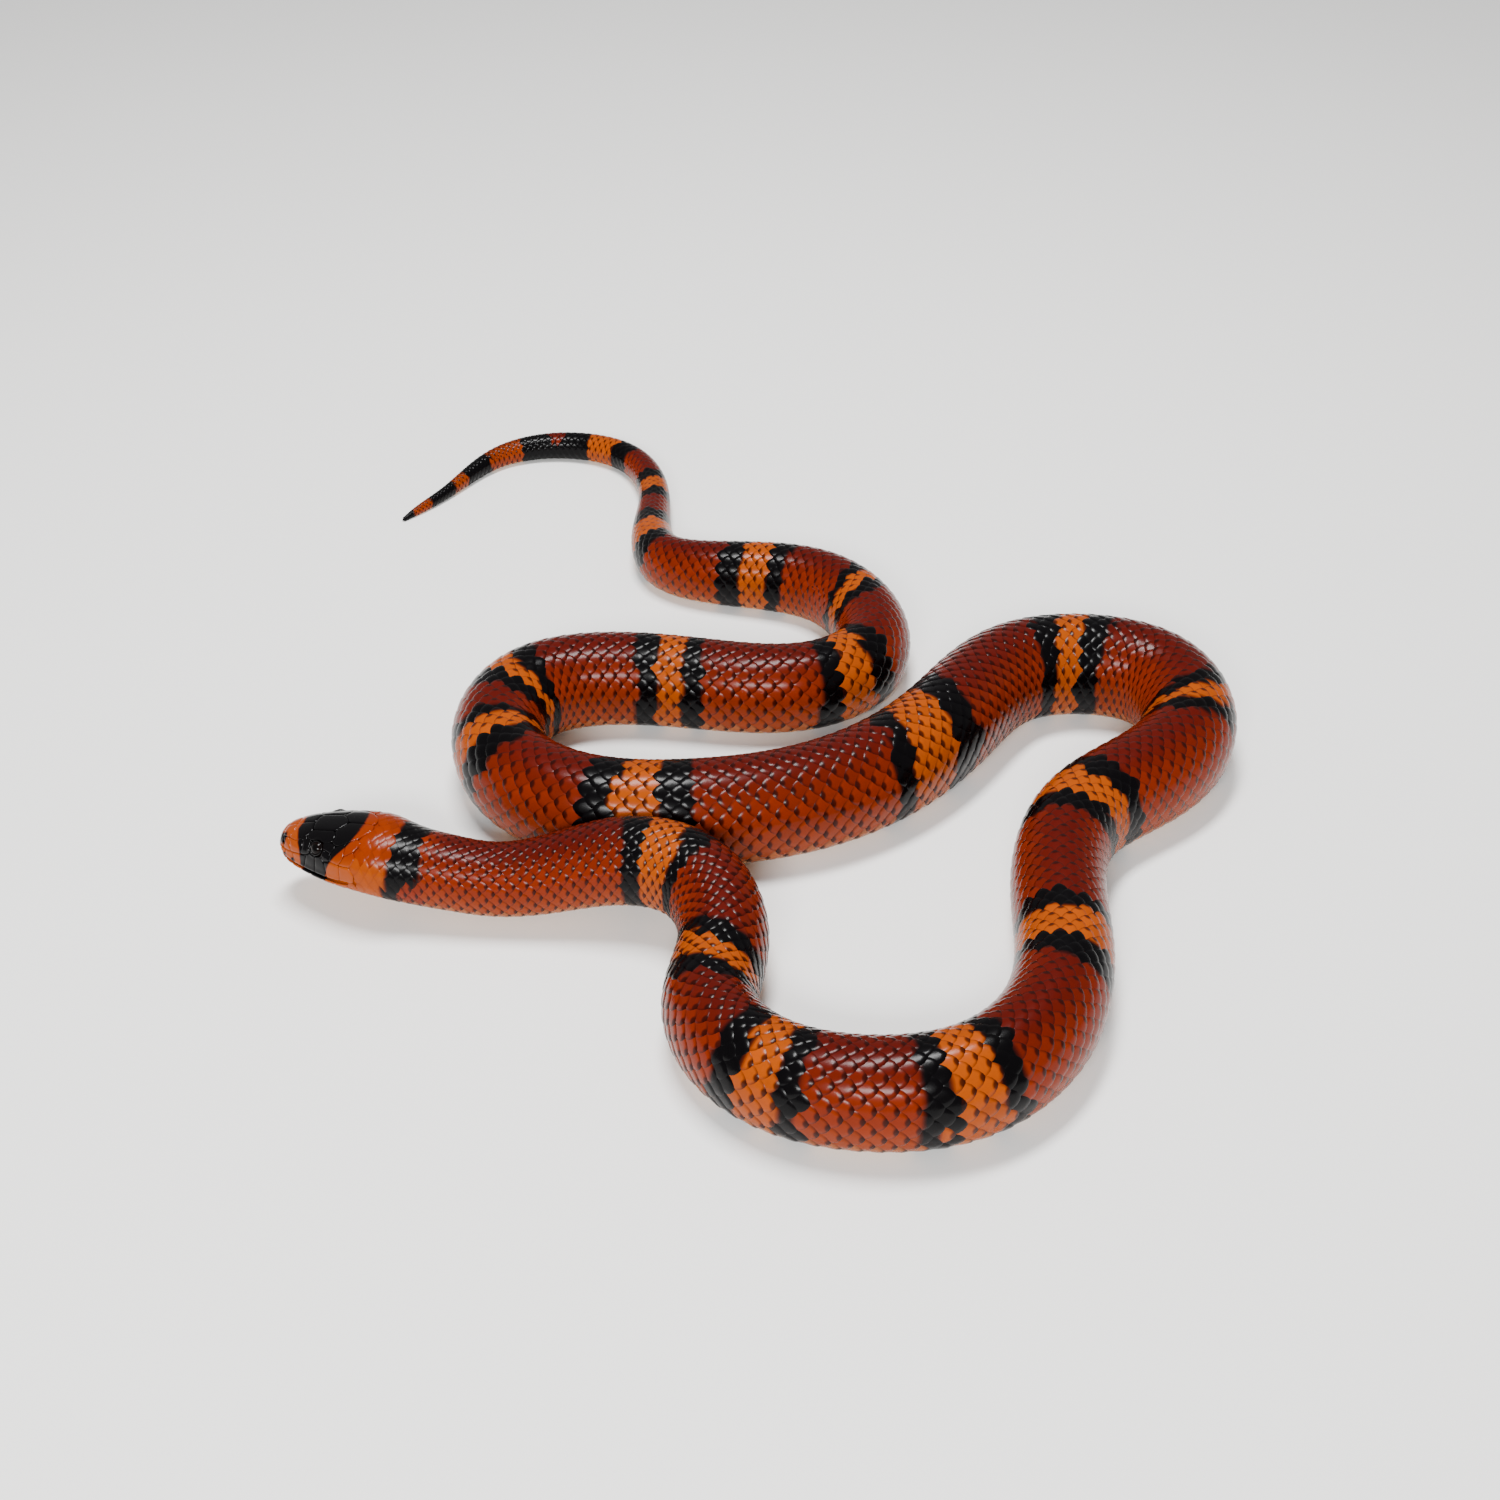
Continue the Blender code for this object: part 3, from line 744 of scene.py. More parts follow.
def rolled_skin():
    """A grid sheet rolled round the body's rows, welded along the belly and at both ends."""
    head = HEAD_END * np.linspace(0.01, 1, SKIN_HEAD_ROWS) ** 2
    cuts = BODY.length * np.arange(1, STRIPS) / STRIPS
    body = np.arange(HEAD_END + 1, SKIN_TAIL, SKIN_STEP)
    tail = np.linspace(SKIN_TAIL, BODY.length - 0.35, SKIN_TAIL_ROWS)
    rows = np.unique(np.concatenate([head, cuts, body, tail]))
    columns = np.linspace(-1, 1, SKIN_COLUMNS)
    deselect_all()
    bpy.ops.mesh.primitive_grid_add(
        x_subdivisions=len(rows) - 1, y_subdivisions=len(columns) - 1, size=2
    )
    obj = bpy.context.object
    obj.name = "skin"
    mesh = obj.data
    plan = np.empty(len(mesh.vertices) * 3, np.float32)
    mesh.vertices.foreach_get("co", plan)
    plan = plan.reshape(-1, 3)
    row = np.rint((plan[:, 0] + 1) / 2 * (len(rows) - 1)).astype(int)
    column = np.rint((plan[:, 1] + 1) / 2 * (len(columns) - 1)).astype(int)
    distance, place = rows[row], columns[column]
    under = (FOOT_DEPTH * ease(0, 3, distance) + SKIN_CLEAR) * tail_share(distance)
    points = BODY.surface(distance, place, -under)
    for end in (0, len(rows) - 1):
        points[row == end] = points[row == end].mean(axis=0)
    mesh.vertices.foreach_set("co", (points * MM).astype(np.float32).reshape(-1))
    corners = np.array([loop.vertex_index for loop in mesh.loops])
    face_row = row[corners].reshape(-1, 4).min(axis=1)
    strip = np.repeat((rows[face_row] / (BODY.length / STRIPS) + 1e-6).astype(int), 4)
    while mesh.uv_layers:
        mesh.uv_layers.remove(mesh.uv_layers[0])
    add_uv(mesh, "OFBake", strip_place(distance[corners], place[corners], strip))
    add_marking(mesh, distance, place, np.zeros(len(distance)), softness=0.4)
    select_only(obj)
    bpy.ops.object.mode_set(mode="EDIT")
    bpy.ops.mesh.select_all(action="SELECT")
    bpy.ops.mesh.remove_doubles(threshold=2e-6)
    bpy.ops.mesh.normals_make_consistent(inside=False)
    bpy.ops.object.mode_set(mode="OBJECT")
    mesh.shade_smooth()
    return obj


def belly_roots():
    """Distance, place and half the width in place of each wide plate under the belly and the tail."""
    along, count = lattice(BELLY_START, BODY.length - 3.0)
    distance = np.interp(np.arange(0, count[-1]), count, along)
    body = distance[distance < VENT]
    tail = distance[distance >= VENT]
    half = 1 - BELLY_EDGE
    whole = np.stack([body, np.ones(len(body)), np.full(len(body), half + PLATE_OVERLAP)], 1)
    # Under the tail the plates of a pair are staggered by half a plate.
    pairs = [
        np.stack([
            tail + 0.25 * k * spacing(tail),
            np.full(len(tail), k * (1 - half / 2)),
            np.full(len(tail), half / 2 + PAIR_OVERLAP),
        ], 1)
        for k in (-1, 1)
    ]
    return np.concatenate([whole, *pairs])


def belly_piece(name, roots, seed):
    """Copies of one modelled plate, laid across the belly and joined in one mesh."""
    template = plate_template()
    random = np.random.default_rng(seed)
    u, v, top, rim = template[0].T
    distance, place, half = roots.T
    reach = PLATE_LENGTH * spacing(distance)
    at = np.clip(distance[:, None] + reach[:, None] * u[None], 1, BODY.length - 0.1)
    side = place[:, None] + half[:, None] * v[None]
    thick = PLATE_THICKNESS * np.minimum(1, spacing(distance) / PLATE_FULL_SPACING)
    profile = PLATE_FOOT + PLATE_RISE * ease(-1.1, 1.0, u) - PLATE_RIM_DROP * ease(0.93, 1.0, rim)
    height = np.where(top > 0.5, thick[:, None] * profile, -PLATE_UNDERSIDE)
    points = BODY.surface(at, side, height - FOOT_DEPTH * tail_share(at))
    points[..., 2] = np.maximum(points[..., 2], FLOOR_CLEAR)
    obj = tiled_object(name, template, points, distance, (place + 1) % 2 - 1)[0]
    shade = np.repeat(random.normal(0, 1, len(roots)), len(u))
    add_marking(obj.data, np.repeat(distance, len(u)), ((side + 1) % 2 - 1).reshape(-1), shade)
    return obj


# Where the head's shields meet: distance and place. Each shield is the corners of its outline, by their
# numbers in that table. Those in the middle are given on one side and mirrored on the other.
CORNERS = (
    (0.2, 0), (0.2, 0.475), (0.3, 0.53), (0.3, 1), (1.2, 0.475), (1.2, 0.485), (1.4, 0.37), (1.4, 0.525),
    (1.5, 0.63), (1.6, 0.23), (1.75, 0.13), (1.9, 0), (1.9, 0.395), (1.95, 0.28), (1.95, 0.33), (2, 0.2),
    (2.2, 0.215), (2.3, 0.8), (2.3, 0.985), (2.3, 1), (2.4, 0.255), (2.4, 0.8), (2.45, 0.355),
    (2.5, 0.385), (2.85, 0.28), (2.85, 0.33), (2.9, 0.65), (3.3, 0.381), (3.3, 0.515), (3.4, 0.485),
    (4.2, 0.21), (4.9, 0.29), (5.1, 0), (5.2, 0.1), (5.2, 0.37), (5.2, 0.645), (5.5, 0.515),
    (6.1, 0.366), (6.2, 0.485), (6.4, 0.235), (7.9, 0.64), (8.2, 0.515), (8.6, 0.985), (8.8, 0.355),
    (9, 0.2), (9.1, 0.28), (9.2, 0.83), (9.4, 0.985), (9.7, 0.485), (9.8, 0.165), (10, 0.195), (10.2, 0),
    (10.3, 0.055), (10.4, 0.345), (10.9, 0.105), (10.9, 0.66), (11.2, 0.26), (11.5, 0.515),
    (11.6, 0.205), (11.6, 0.315), (13.2, 0.485), (13.2, 0.72), (13.3, 0.33), (13.4, 0.198), (14, 0.098),
    (14.4, 0.94), (15.1, 0.318), (15.1, 0.64), (15.2, 0.207), (15.2, 0.515), (15.6, 0.262), (16, 0.355),
    (16.8, 0.485), (17, 0.095), (17.4, 0.2), (17.6, 0.345), (17.8, 0.285), (18, 0.15), (18.4, 0.62),
    (18.6, 0.05), (18.6, 0.515), (19, 0.225), (19.6, 0), (20.4, 0.36), (20.6, 0.485), (21.2, 0.6),
    (21.5, 0.19), (21.6, 0.29), (22.4, 0.515), (22.6, 0.56), (23.4, 0.365), (24, 0.25), (24.2, 0.15),
    (24.4, 0.485), (24.6, 0.42), (24.8, 0.3), (25.6, 0.18), (26.8, 0), (27, 0.07),
)
MIDDLE_SHIELDS = {
    "frontal": (51, 52, 54, 64, 73, 79, 82),
    "rostral": (11, 10, 9, 6, 4, 1, 0),
}
CHIN_SHIELDS = {
    "mental": (3, 2, 7, 8, 17, 19),
}
SIDE_SHIELDS = {
    "internasal": (11, 10, 15, 30, 33, 32),
    "prefrontal": (32, 33, 30, 39, 44, 49, 54, 52, 51),
    "supraocular": (54, 49, 50, 58, 63, 68, 74, 77, 73, 64),
    "parietal": (82, 79, 73, 77, 74, 81, 86, 92, 98, 97),
    "nasal_front": (9, 6, 12, 23, 22, 14, 13, 20, 16, 10),
    "nasal_back": (16, 20, 24, 25, 22, 23, 34, 31, 30),
    "loreal": (31, 34, 43, 45, 44, 39, 30),
    "preocular": (45, 43, 53, 59, 56, 58, 50, 49, 44),
    "postocular_up": (68, 70, 76, 81, 74),
    "postocular_low": (70, 66, 71, 75, 76),
    "temporal_1": (76, 75, 83, 87, 86, 81),
    "temporal_2": (87, 83, 90, 95, 91),
    "temporal_3": (86, 87, 91, 96, 92),
    "upper_lip_1": (6, 5, 29, 27, 23, 12),
    "upper_lip_2": (27, 29, 38, 37, 34),
    "upper_lip_3": (37, 38, 48, 53, 43),
    "upper_lip_4": (53, 48, 60, 62, 59),
    "upper_lip_5": (62, 60, 72, 71, 66),
    "upper_lip_6": (71, 72, 84, 83, 75),
    "upper_lip_7": (83, 84, 93, 94, 90),
    "lower_lip_1": (7, 8, 21, 26, 28),
    "lower_lip_2": (28, 26, 35, 36),
    "lower_lip_3": (36, 35, 40, 41),
    "lower_lip_4": (41, 40, 55, 57),
    "lower_lip_5": (57, 55, 61, 67, 69),
    "lower_lip_6": (69, 67, 78, 80),
    "lower_lip_7": (80, 78, 85, 89, 88),
    "chin_front": (21, 18, 42, 46, 40, 35, 26),
    "chin_back": (46, 42, 47, 65, 61, 55, 40),
}
SHIELD_GAP = 0.04
SHIELD_HEIGHT = 0.2
SHIELD_FOOT = 0.1
SHIELD_POINTS = 56
# Millimetres in from the outline, share of what is left and share of the height, from the foot of a shield's
# rim to near its middle.
SHIELD_PROFILE = (
    (0.0, 1.0, -1.5), (0.0, 1.0, -0.1), (0.08, 1.0, 0.4), (0.2, 1.0, 0.75), (0.34, 1.0, 0.95),
    (0.5, 1.0, 1.05), (0.5, 0.9, 1.09), (0.5, 0.8, 1.12), (0.5, 0.7, 1.14), (0.5, 0.6, 1.16),
    (0.5, 0.5, 1.18), (0.5, 0.38, 1.19), (0.5, 0.25, 1.2), (0.5, 0.12, 1.2),
)


def signed_area(points):
    """Twice the area inside a polygon, above 0 where it runs anticlockwise."""
    x, y = points.T
    return (x * np.roll(y, -1) - y * np.roll(x, -1)).sum()


def smooth_outline(corners):
    """Evenly spaced points round a polygon, its corners rounded and its edges drawn in by half a gap."""
    closed = np.concatenate([corners, corners[:1]])
    length = running_length(closed)
    even = np.linspace(0, length[-1], SHIELD_POINTS, endpoint=False)
    points = np.stack([np.interp(even, length, closed[:, k]) for k in (0, 1)], 1)
    for _ in range(2):
        points = 0.5 * points + 0.25 * (np.roll(points, 1, axis=0) + np.roll(points, -1, axis=0))
    way = np.roll(points, -1, axis=0) - np.roll(points, 1, axis=0)
    way /= np.linalg.norm(way, axis=1)[:, None]
    inward = np.stack([-way[:, 1], way[:, 0]], 1) * np.sign(signed_area(points))
    return points + 0.5 * SHIELD_GAP * inward


def shield(outline):
    """One shield as rings of points from the foot of its rim to its middle: distance, place and height."""
    middle = outline.mean(axis=0)
    round_mm = float(BODY.round_scale(middle[0], middle[1]))
    edge = smooth_outline(outline * (1, round_mm))
    centre = edge.mean(axis=0)
    rings = []
    radius = np.linalg.norm(edge - centre, axis=1)[:, None]
    for inset, share, height in SHIELD_PROFILE:
        ring = centre + share * np.maximum(1 - inset / radius, 0.5) * (edge - centre)
        height = np.full(len(ring), height * SHIELD_HEIGHT)
        rings.append(np.stack([ring[:, 0], ring[:, 1] / round_mm, height], 1))
    return np.stack(rings), np.array([centre[0], centre[1] / round_mm])


def shield_outlines():
    """The outline of every shield, on both sides of the head."""
    outlines = []
    for shields, seam in ((MIDDLE_SHIELDS, 0), (CHIN_SHIELDS, 1)):
        for numbers in shields.values():
            points = [CORNERS[number] for number in numbers]
            mirrored = [(d, 2 * seam - w) for d, w in points[::-1] if w != seam]
            outlines.append(points + mirrored)
    near = [[CORNERS[number] for number in numbers] for numbers in SIDE_SHIELDS.values()]
    far = [[(d, -w) for d, w in points[::-1]] for points in near]
    return [np.array(points, float) for points in outlines + near + far]


def shield_piece():
    """All the shields as closed low domes in one mesh."""
    parts, loops, sizes, start = [], [], [], 0
    step = np.arange(SHIELD_POINTS)
    ahead = (step + 1) % SHIELD_POINTS
    for outline in shield_outlines():
        rings, centre = shield(outline)
        count = len(rings)
        parts.append(rings.reshape(-1, 3))
        parts.append(np.array([[*centre, SHIELD_PROFILE[-1][2] * SHIELD_HEIGHT]]))
        tip = start + count * SHIELD_POINTS
        faces = []
        for k in range(count - 1):
            low, high = start + k * SHIELD_POINTS, start + (k + 1) * SHIELD_POINTS
            faces += list(np.stack([low + step, low + ahead, high + ahead, high + step], 1))
        faces += list(np.stack([high + step, high + ahead, np.full(SHIELD_POINTS, tip)], 1))
        faces.append((start + step)[::-1])
        if signed_area(outline) < 0:
            faces = [face[::-1] for face in faces]
        loops += faces
        sizes += [len(face) for face in faces]
        start = tip + 1
    distance, place, height = np.concatenate(parts).T
    place = (place + 1) % 2 - 1
    loops = np.concatenate(loops)
    verts = BODY.surface(distance, place, height - SHIELD_FOOT)
    obj = new_object("head_shields", verts, loops, np.array(sizes))
    add_uv(obj.data, "OFBake", strip_place(distance[loops], place[loops]))
    add_marking(obj.data, distance, place, np.zeros(len(distance)), softness=0.25)
    obj.data.shade_smooth()
    obj.data.set_sharp_from_angle(angle=math.radians(70))
    return obj


EYE_RIM_RADIUS = 0.19
EYE_RIM_PLACE = 0.26
PUPIL_EDGE = (0.95, 1.1)


def on_eye(side):
    """The middle of an eye's opening on the side of the head, and the way out of it."""
    return BODY.side_frame(EYE_DISTANCE, EYE_HEIGHT, 1 if side == "right" else -1)


def set_in_head(obj, name, point, way):
    """Names a new primitive and turns its mesh so that its axis points out of the head at that point."""
    obj.name = name
    turn = Vector(way).to_track_quat("Z", "Y").to_matrix().to_4x4()
    turn.translation = Vector(point) * MM
    obj.data.transform(turn)
    obj.data.shade_smooth()
    return obj


def eye_rim(side):
    """The ring of skin that holds the spectacle, as a slender torus at the foot of the eye."""
    point, way = on_eye(side)
    deselect_all()
    bpy.ops.mesh.primitive_torus_add(
        major_segments=48, minor_segments=12, major_radius=(EYE_OPENING + 0.08) * MM,
        minor_radius=EYE_RIM_RADIUS * MM,
    )
    obj = set_in_head(bpy.context.object, f"eye_rim_{side}", point + 0.06 * way, way)
    count = len(obj.data.vertices)
    add_marking(obj.data, np.full(count, EYE_DISTANCE), np.full(count, EYE_RIM_PLACE), np.zeros(count))
    return obj


def eyeball(side):
    point, way = on_eye(side)
    deselect_all()
    bpy.ops.mesh.primitive_uv_sphere_add(segments=48, ring_count=32, radius=(EYE_RADIUS - 0.02) * MM)
    return set_in_head(bpy.context.object, f"eyeball_{side}", point - way * EYE_SUNK, way)


def add_node(tree, kind, settings=None, **links):
    """Adds a shader node, sets its options and sockets, and links sockets or nodes to it.

    In a link's name _ stands for a space, and i6 is the socket numbered 6.
    """
    node = tree.nodes.new("ShaderNode" + kind)
    for key, value in (settings or {}).items():
        if isinstance(key, str) and hasattr(node, key):
            setattr(node, key, value)
    for key, value in (settings or {}).items():
        if not (isinstance(key, str) and hasattr(node, key)):
            node.inputs[key].default_value = value
    for key, source in links.items():
        name = key.replace("_", " ")
        number = name[0] == "i" and name[1:].isdigit()
        if isinstance(source, bpy.types.Node):
            source = source.outputs[0]
        tree.links.new(source, node.inputs[int(name[1:]) if number else name])
    return node


def new_material(name):
    material = bpy.data.materials.new(name)
    material.use_nodes = True
    material.node_tree.nodes.clear()
    return material, material.node_tree


# Flecks of pigment a little over 1 mm across, about a quarter of a scale, and their relief in metres.
FLECKS_PER_METRE = 900.0
FLECK_RELIEF = 0.0001
FLECK_STRENGTH = 0.2
# How light a scale is, and how much that varies from one to the next.
LIGHTNESS = 0.9
LIGHTNESS_SPREAD = 0.05
# How far round the body the darker red of the back reaches, and how far the belly's colour covers the red.
BACK_REACH = (0.4, 0.05)
BELLY_COVER = 0.7
# On a scale's own square: the middle of the dark dot at its tip, where the dot fades out, and its strength.
TIP_DOT = (0.9, 0.5, 0.0)
TIP_DOT_SHAPE = (1.0, 0.75, 0.0)
DOT_FADE = (0.2, 0.09)
DOT_STRENGTH = 0.85


def keratin(name, colours, roughness=0.22, gloss=0.1, dotted=False):
    """Smooth keratin over pigment.

    It gives the eye one clear colour for each scale, a tight highlight along its swell and, where it is
    dotted, a dark tip of pigment and a thin dark rim of painted shade, darkest towards the tip, that draws the
    shingles.
    Keratin's IOR is close to the default, 1.5.
    The specular level is low, because the pale floor would otherwise veil the deep colours with grey.
    """
    material, tree = new_material(name)
    marked = add_node(tree, "VertexColor", {"layer_name": "marking"})
    parts = add_node(tree, "SeparateColor", Color=marked)
    black, orange, pale = parts.outputs[0], parts.outputs[1], parts.outputs[2]
    shade, from_back, rim_for_painted_shade = (
        add_node(tree, "Attribute", {"attribute_name": attribute}).outputs["Fac"]
        for attribute in ("shade", "round", "rim")
    )
    smooth = {"interpolation_type": "SMOOTHSTEP"}
    low, high = BACK_REACH
    back = add_node(tree, "MapRange", {**smooth, "From Min": low, "From Max": high}, Value=from_back)
    reds = {"data_type": "RGBA", 6: (*colours.red, 1), 7: (*colours.back, 1)}
    base = add_node(tree, "Mix", reds, i0=back).outputs[2]
    cover = add_node(tree, "Math", {"operation": "MULTIPLY", 1: BELLY_COVER}, i0=pale)
    layers = [(orange, colours.orange), (cover, colours.belly)]
    if dotted:
        on_scale = add_node(tree, "UVMap", {"uv_map": "scale_place"})
        off = add_node(tree, "VectorMath", {"operation": "SUBTRACT", 1: TIP_DOT}, i0=on_scale)
        oval = add_node(tree, "VectorMath", {"operation": "MULTIPLY", 1: TIP_DOT_SHAPE}, i0=off)
        away = add_node(tree, "VectorMath", {"operation": "LENGTH"}, i0=oval).outputs["Value"]
        low, high = DOT_FADE
        fade = {**smooth, "From Min": low, "From Max": high, "To Max": DOT_STRENGTH}
        dot = add_node(tree, "MapRange", fade, Value=away)
        # Painted shade, not pigment: each scale's rim is darkened in the tip colour, most towards its tip,
        # where it steps down onto the next scale.
        rim = add_node(tree, "MapRange", {"From Min": 0.7, "From Max": 1.0}, Value=rim_for_painted_shade)
        along = add_node(tree, "SeparateXYZ", Vector=on_scale).outputs["X"]
        painted_shade_tipward = {"From Min": 0.45, "From Max": 0.9, "To Min": 0.15, "To Max": 0.9}
        painted_shade_tipward = add_node(tree, "MapRange", painted_shade_tipward, Value=along)
        rim = add_node(tree, "Math", {"operation": "MULTIPLY"}, i0=rim, i1=painted_shade_tipward)
        # The dot is pigment. The rim is painted shade in the same dark colour.
        layers += [(dot, colours.tip), (rim, colours.tip)]
    for share, tint in [*layers, (black, colours.black)]:
        base = add_node(tree, "Mix", {"data_type": "RGBA", 7: (*tint, 1)}, i0=share, i6=base).outputs[2]

    place = add_node(tree, "TexCoord").outputs["Object"]
    fine = {"Scale": FLECKS_PER_METRE, "Detail": 3.0}
    flecks = add_node(tree, "TexNoise", fine, Vector=place).outputs["Fac"]
    varied = {"operation": "MULTIPLY_ADD", 1: LIGHTNESS_SPREAD, 2: LIGHTNESS}
    light = add_node(tree, "Math", varied, i0=shade)
    light = add_node(tree, "Math", {"operation": "MULTIPLY_ADD", 1: FLECK_STRENGTH}, i0=flecks, i2=light)
    tone = add_node(tree, "HueSaturation", Value=light, Color=base)
    bump = add_node(tree, "Bump", {"Strength": 0.12, "Distance": FLECK_RELIEF}, Height=flecks)
    finish = {"Roughness": roughness, "Specular IOR Level": gloss}
    shader = add_node(tree, "BsdfPrincipled", finish, Base_Color=tone, Normal=bump)
    add_node(tree, "OutputMaterial", Surface=shader)
    return material


def spectacle(colours, side):
    """A clear spectacle over a very dark iris with a round pupil.

    It gives the eye one small hard highlight on a near-black ball.
    """
    material, tree = new_material(f"clear_spectacle_{side}")
    point, way = on_eye(side)
    front = point + way * (EYE_RADIUS - EYE_SUNK)
    place = add_node(tree, "TexCoord").outputs["Object"]
    away = add_node(tree, "VectorMath", {"operation": "DISTANCE", 1: tuple(front * MM)}, i0=place)
    low, high = PUPIL_EDGE
    edge = {"From Min": low * MM, "From Max": high * MM}
    edge = add_node(tree, "MapRange", edge, Value=away.outputs["Value"])
    browns = {"data_type": "RGBA", 6: (*colours.pupil, 1), 7: (*colours.iris, 1)}
    base = add_node(tree, "Mix", browns, i0=edge).outputs[2]
    finish = {"Roughness": 0.05, "Specular IOR Level": 0.1}
    shader = add_node(tree, "BsdfPrincipled", finish, Base_Color=base)
    add_node(tree, "OutputMaterial", Surface=shader)
    return material


def colour(name, description, code):
    """A colour for the panel, with its default from a hex code."""
    return bpy.props.FloatVectorProperty(
        name=name, description=description, subtype="COLOR", size=3, default=linear(code)
    )


class ColourSettings(bpy.types.PropertyGroup):
    """Colours of the animal and of the floor."""

    red: colour("Red", "Between the rings", "#6C1D03")
    back: colour("Back", "Red along the back", "#450A04")
    orange: colour("Orange", "Middle of each ring", "#8C3A01")
    black: colour("Black", "Edges of each ring and the cap", "#030203")
    # This colour is also the painted shade along each scale's rim, besides the pigment dot at its tip.
    tip: colour("Scale tip", "Dark dot at each scale's tip", "#1E0402")
    belly: colour("Belly", "Pale plates under the body", "#E2B27A")
    iris: colour("Iris", "Ring round the pupil", "#0B0403")
    pupil: colour("Pupil", "Middle of the eye", "#050404")
    floor: colour("Floor", "Plain pale floor", "#F2F1EF")


class ScaleSettings(bpy.types.PropertyGroup):
    """Sizes of the small scales."""

    length: bpy.props.FloatProperty(
        name="Length", description="Half a scale's length, as a share of the spacing", default=0.63,
        subtype="FACTOR",
    )
    width: bpy.props.FloatProperty(
        name="Width", description="Half a scale's width, as a share of the rows' spacing", default=1.06
    )
    thickness: bpy.props.FloatProperty(
        name="Thickness", description="Height of a scale's tip over the skin", default=0.00044, unit="LENGTH"
    )
    cells: bpy.props.IntProperty(name="Cells", description="Divisions along each edge of a scale", default=6)


class StageSettings(bpy.types.PropertyGroup):
    """Camera and light."""

    focal: bpy.props.FloatProperty(
        name="Focal length", description="Lens in millimetres", default=48.0, unit="CAMERA"
    )
    pitch: bpy.props.FloatProperty(
        name="Look down", description="Angle below the horizon", default=math.radians(38), unit="ROTATION"
    )
    place: bpy.props.FloatVectorProperty(
        name="Camera", description="Where the camera stands", subtype="TRANSLATION", size=3,
        default=(-0.00758, -0.46082, 0.3532),
    )
    key: bpy.props.FloatProperty(
        name="Key", description="Each of the two soft lights", default=14.0, unit="POWER"
    )
    surround: bpy.props.FloatProperty(name="Surround", description="Light from the whole room", default=0.45)


def finish_piece(obj, material, slot, *nodes):
    obj.data.materials.clear()
    obj.data.materials.append(material)
    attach(obj, "root")
    if nodes:
        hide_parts(*nodes)


FLESH = sorted(name for name in frame["nodes"] if not name.startswith("eye"))


class SNAKE_OT_skin(bpy.types.Operator):
    """One skin from the snout to the tip of the tail"""

    bl_idname = "snake.skin"
    bl_label = "Skin"

    def execute(self, context):
        skin = rolled_skin()
        # Thin bare skin with the same pigment, which shows only in the seams between the scales.
        finish_piece(skin, keratin("bare_skin", context.scene.snake_colours), "body_scales", *FLESH)
        return {"FINISHED"}


class SNAKE_OT_scales(bpy.types.Operator):
    """Small overlapping scales on the back and flanks"""

    bl_idname = "snake.scales"
    bl_label = "Scales"

    def execute(self, context):
        sizes = context.scene.snake_scales
        # Dry, smooth, unkeeled scales: glossy, but softer than the head's, with pigment dots at their tips and
        # painted shade along their rims.
        material = keratin("smooth_keratin_scales", context.scene.snake_colours, dotted=True)
        template = scale_template(sizes.cells, 1.6)
        roots = scale_roots()
        roots = roots[np.argsort(roots[:, 0], kind="stable")]
        pieces = np.array_split(roots, PIECES)
        for number, part in enumerate(pieces):
            distance, place, narrow, step = part.T
            row_step = step * BODY.round_scale(distance, place)
            small = np.minimum(1, spacing(distance) / FULL_SPACING)
            small = small * (0.5 + 0.5 * ease(*NAPE_THIN, distance))
            obj = coat_piece(
                f"scales_{number + 1}", template, part, sizes.length * spacing(distance),
                sizes.width * row_step * narrow, sizes.thickness / MM * small, SEED + number,
            )
            finish_piece(obj, material, "body_scales")
        return {"FINISHED"}


class SNAKE_OT_belly(bpy.types.Operator):
    """Wide plates under the belly, in pairs under the tail"""

    bl_idname = "snake.belly"
    bl_label = "Belly plates"

    def execute(self, context):
        obj = belly_piece("belly_plates", belly_roots(), SEED)
        # The plates are polished by the ground and plain cream, with the rings running on across them.
        finish_piece(obj, keratin("smooth_belly_plates", context.scene.snake_colours), "body_scales")
        return {"FINISHED"}


class SNAKE_OT_shields(bpy.types.Operator):
    """The large shields of the head"""

    bl_idname = "snake.shields"
    bl_label = "Head shields"

    def execute(self, context):
        obj = shield_piece()
        # Thick, unbroken keratin plates, which take the sharpest highlights of the whole coat.
        material = keratin("glossy_head_shields", context.scene.snake_colours, roughness=0.14, gloss=0.17)
        finish_piece(obj, material, "head_scales")
        return {"FINISHED"}


class SNAKE_OT_eyes(bpy.types.Operator):
    """Both eyes"""

    bl_idname = "snake.eyes"
    bl_label = "Eyes"

    def execute(self, context):
        colours = context.scene.snake_colours
        # The moist-looking edge round the spectacle, which shows as a fine bright ring.
        rim = keratin("glossy_eye_rims", colours, roughness=0.14, gloss=0.25)
        for side in ("left", "right"):
            finish_piece(eyeball(side), spectacle(colours, side), "eye", f"eye_{side}")
            finish_piece(eye_rim(side), rim, "head_scales")
        return {"FINISHED"}


# In metres, as the lights and the floor are placed.
FLOOR_SIZE = 8
LIGHT_SIZE = (0.4, 0.16)
LIGHTS = {"overhead": (-0.05, 0.05, 0.9), "front": (-0.15, -0.95, 0.62)}


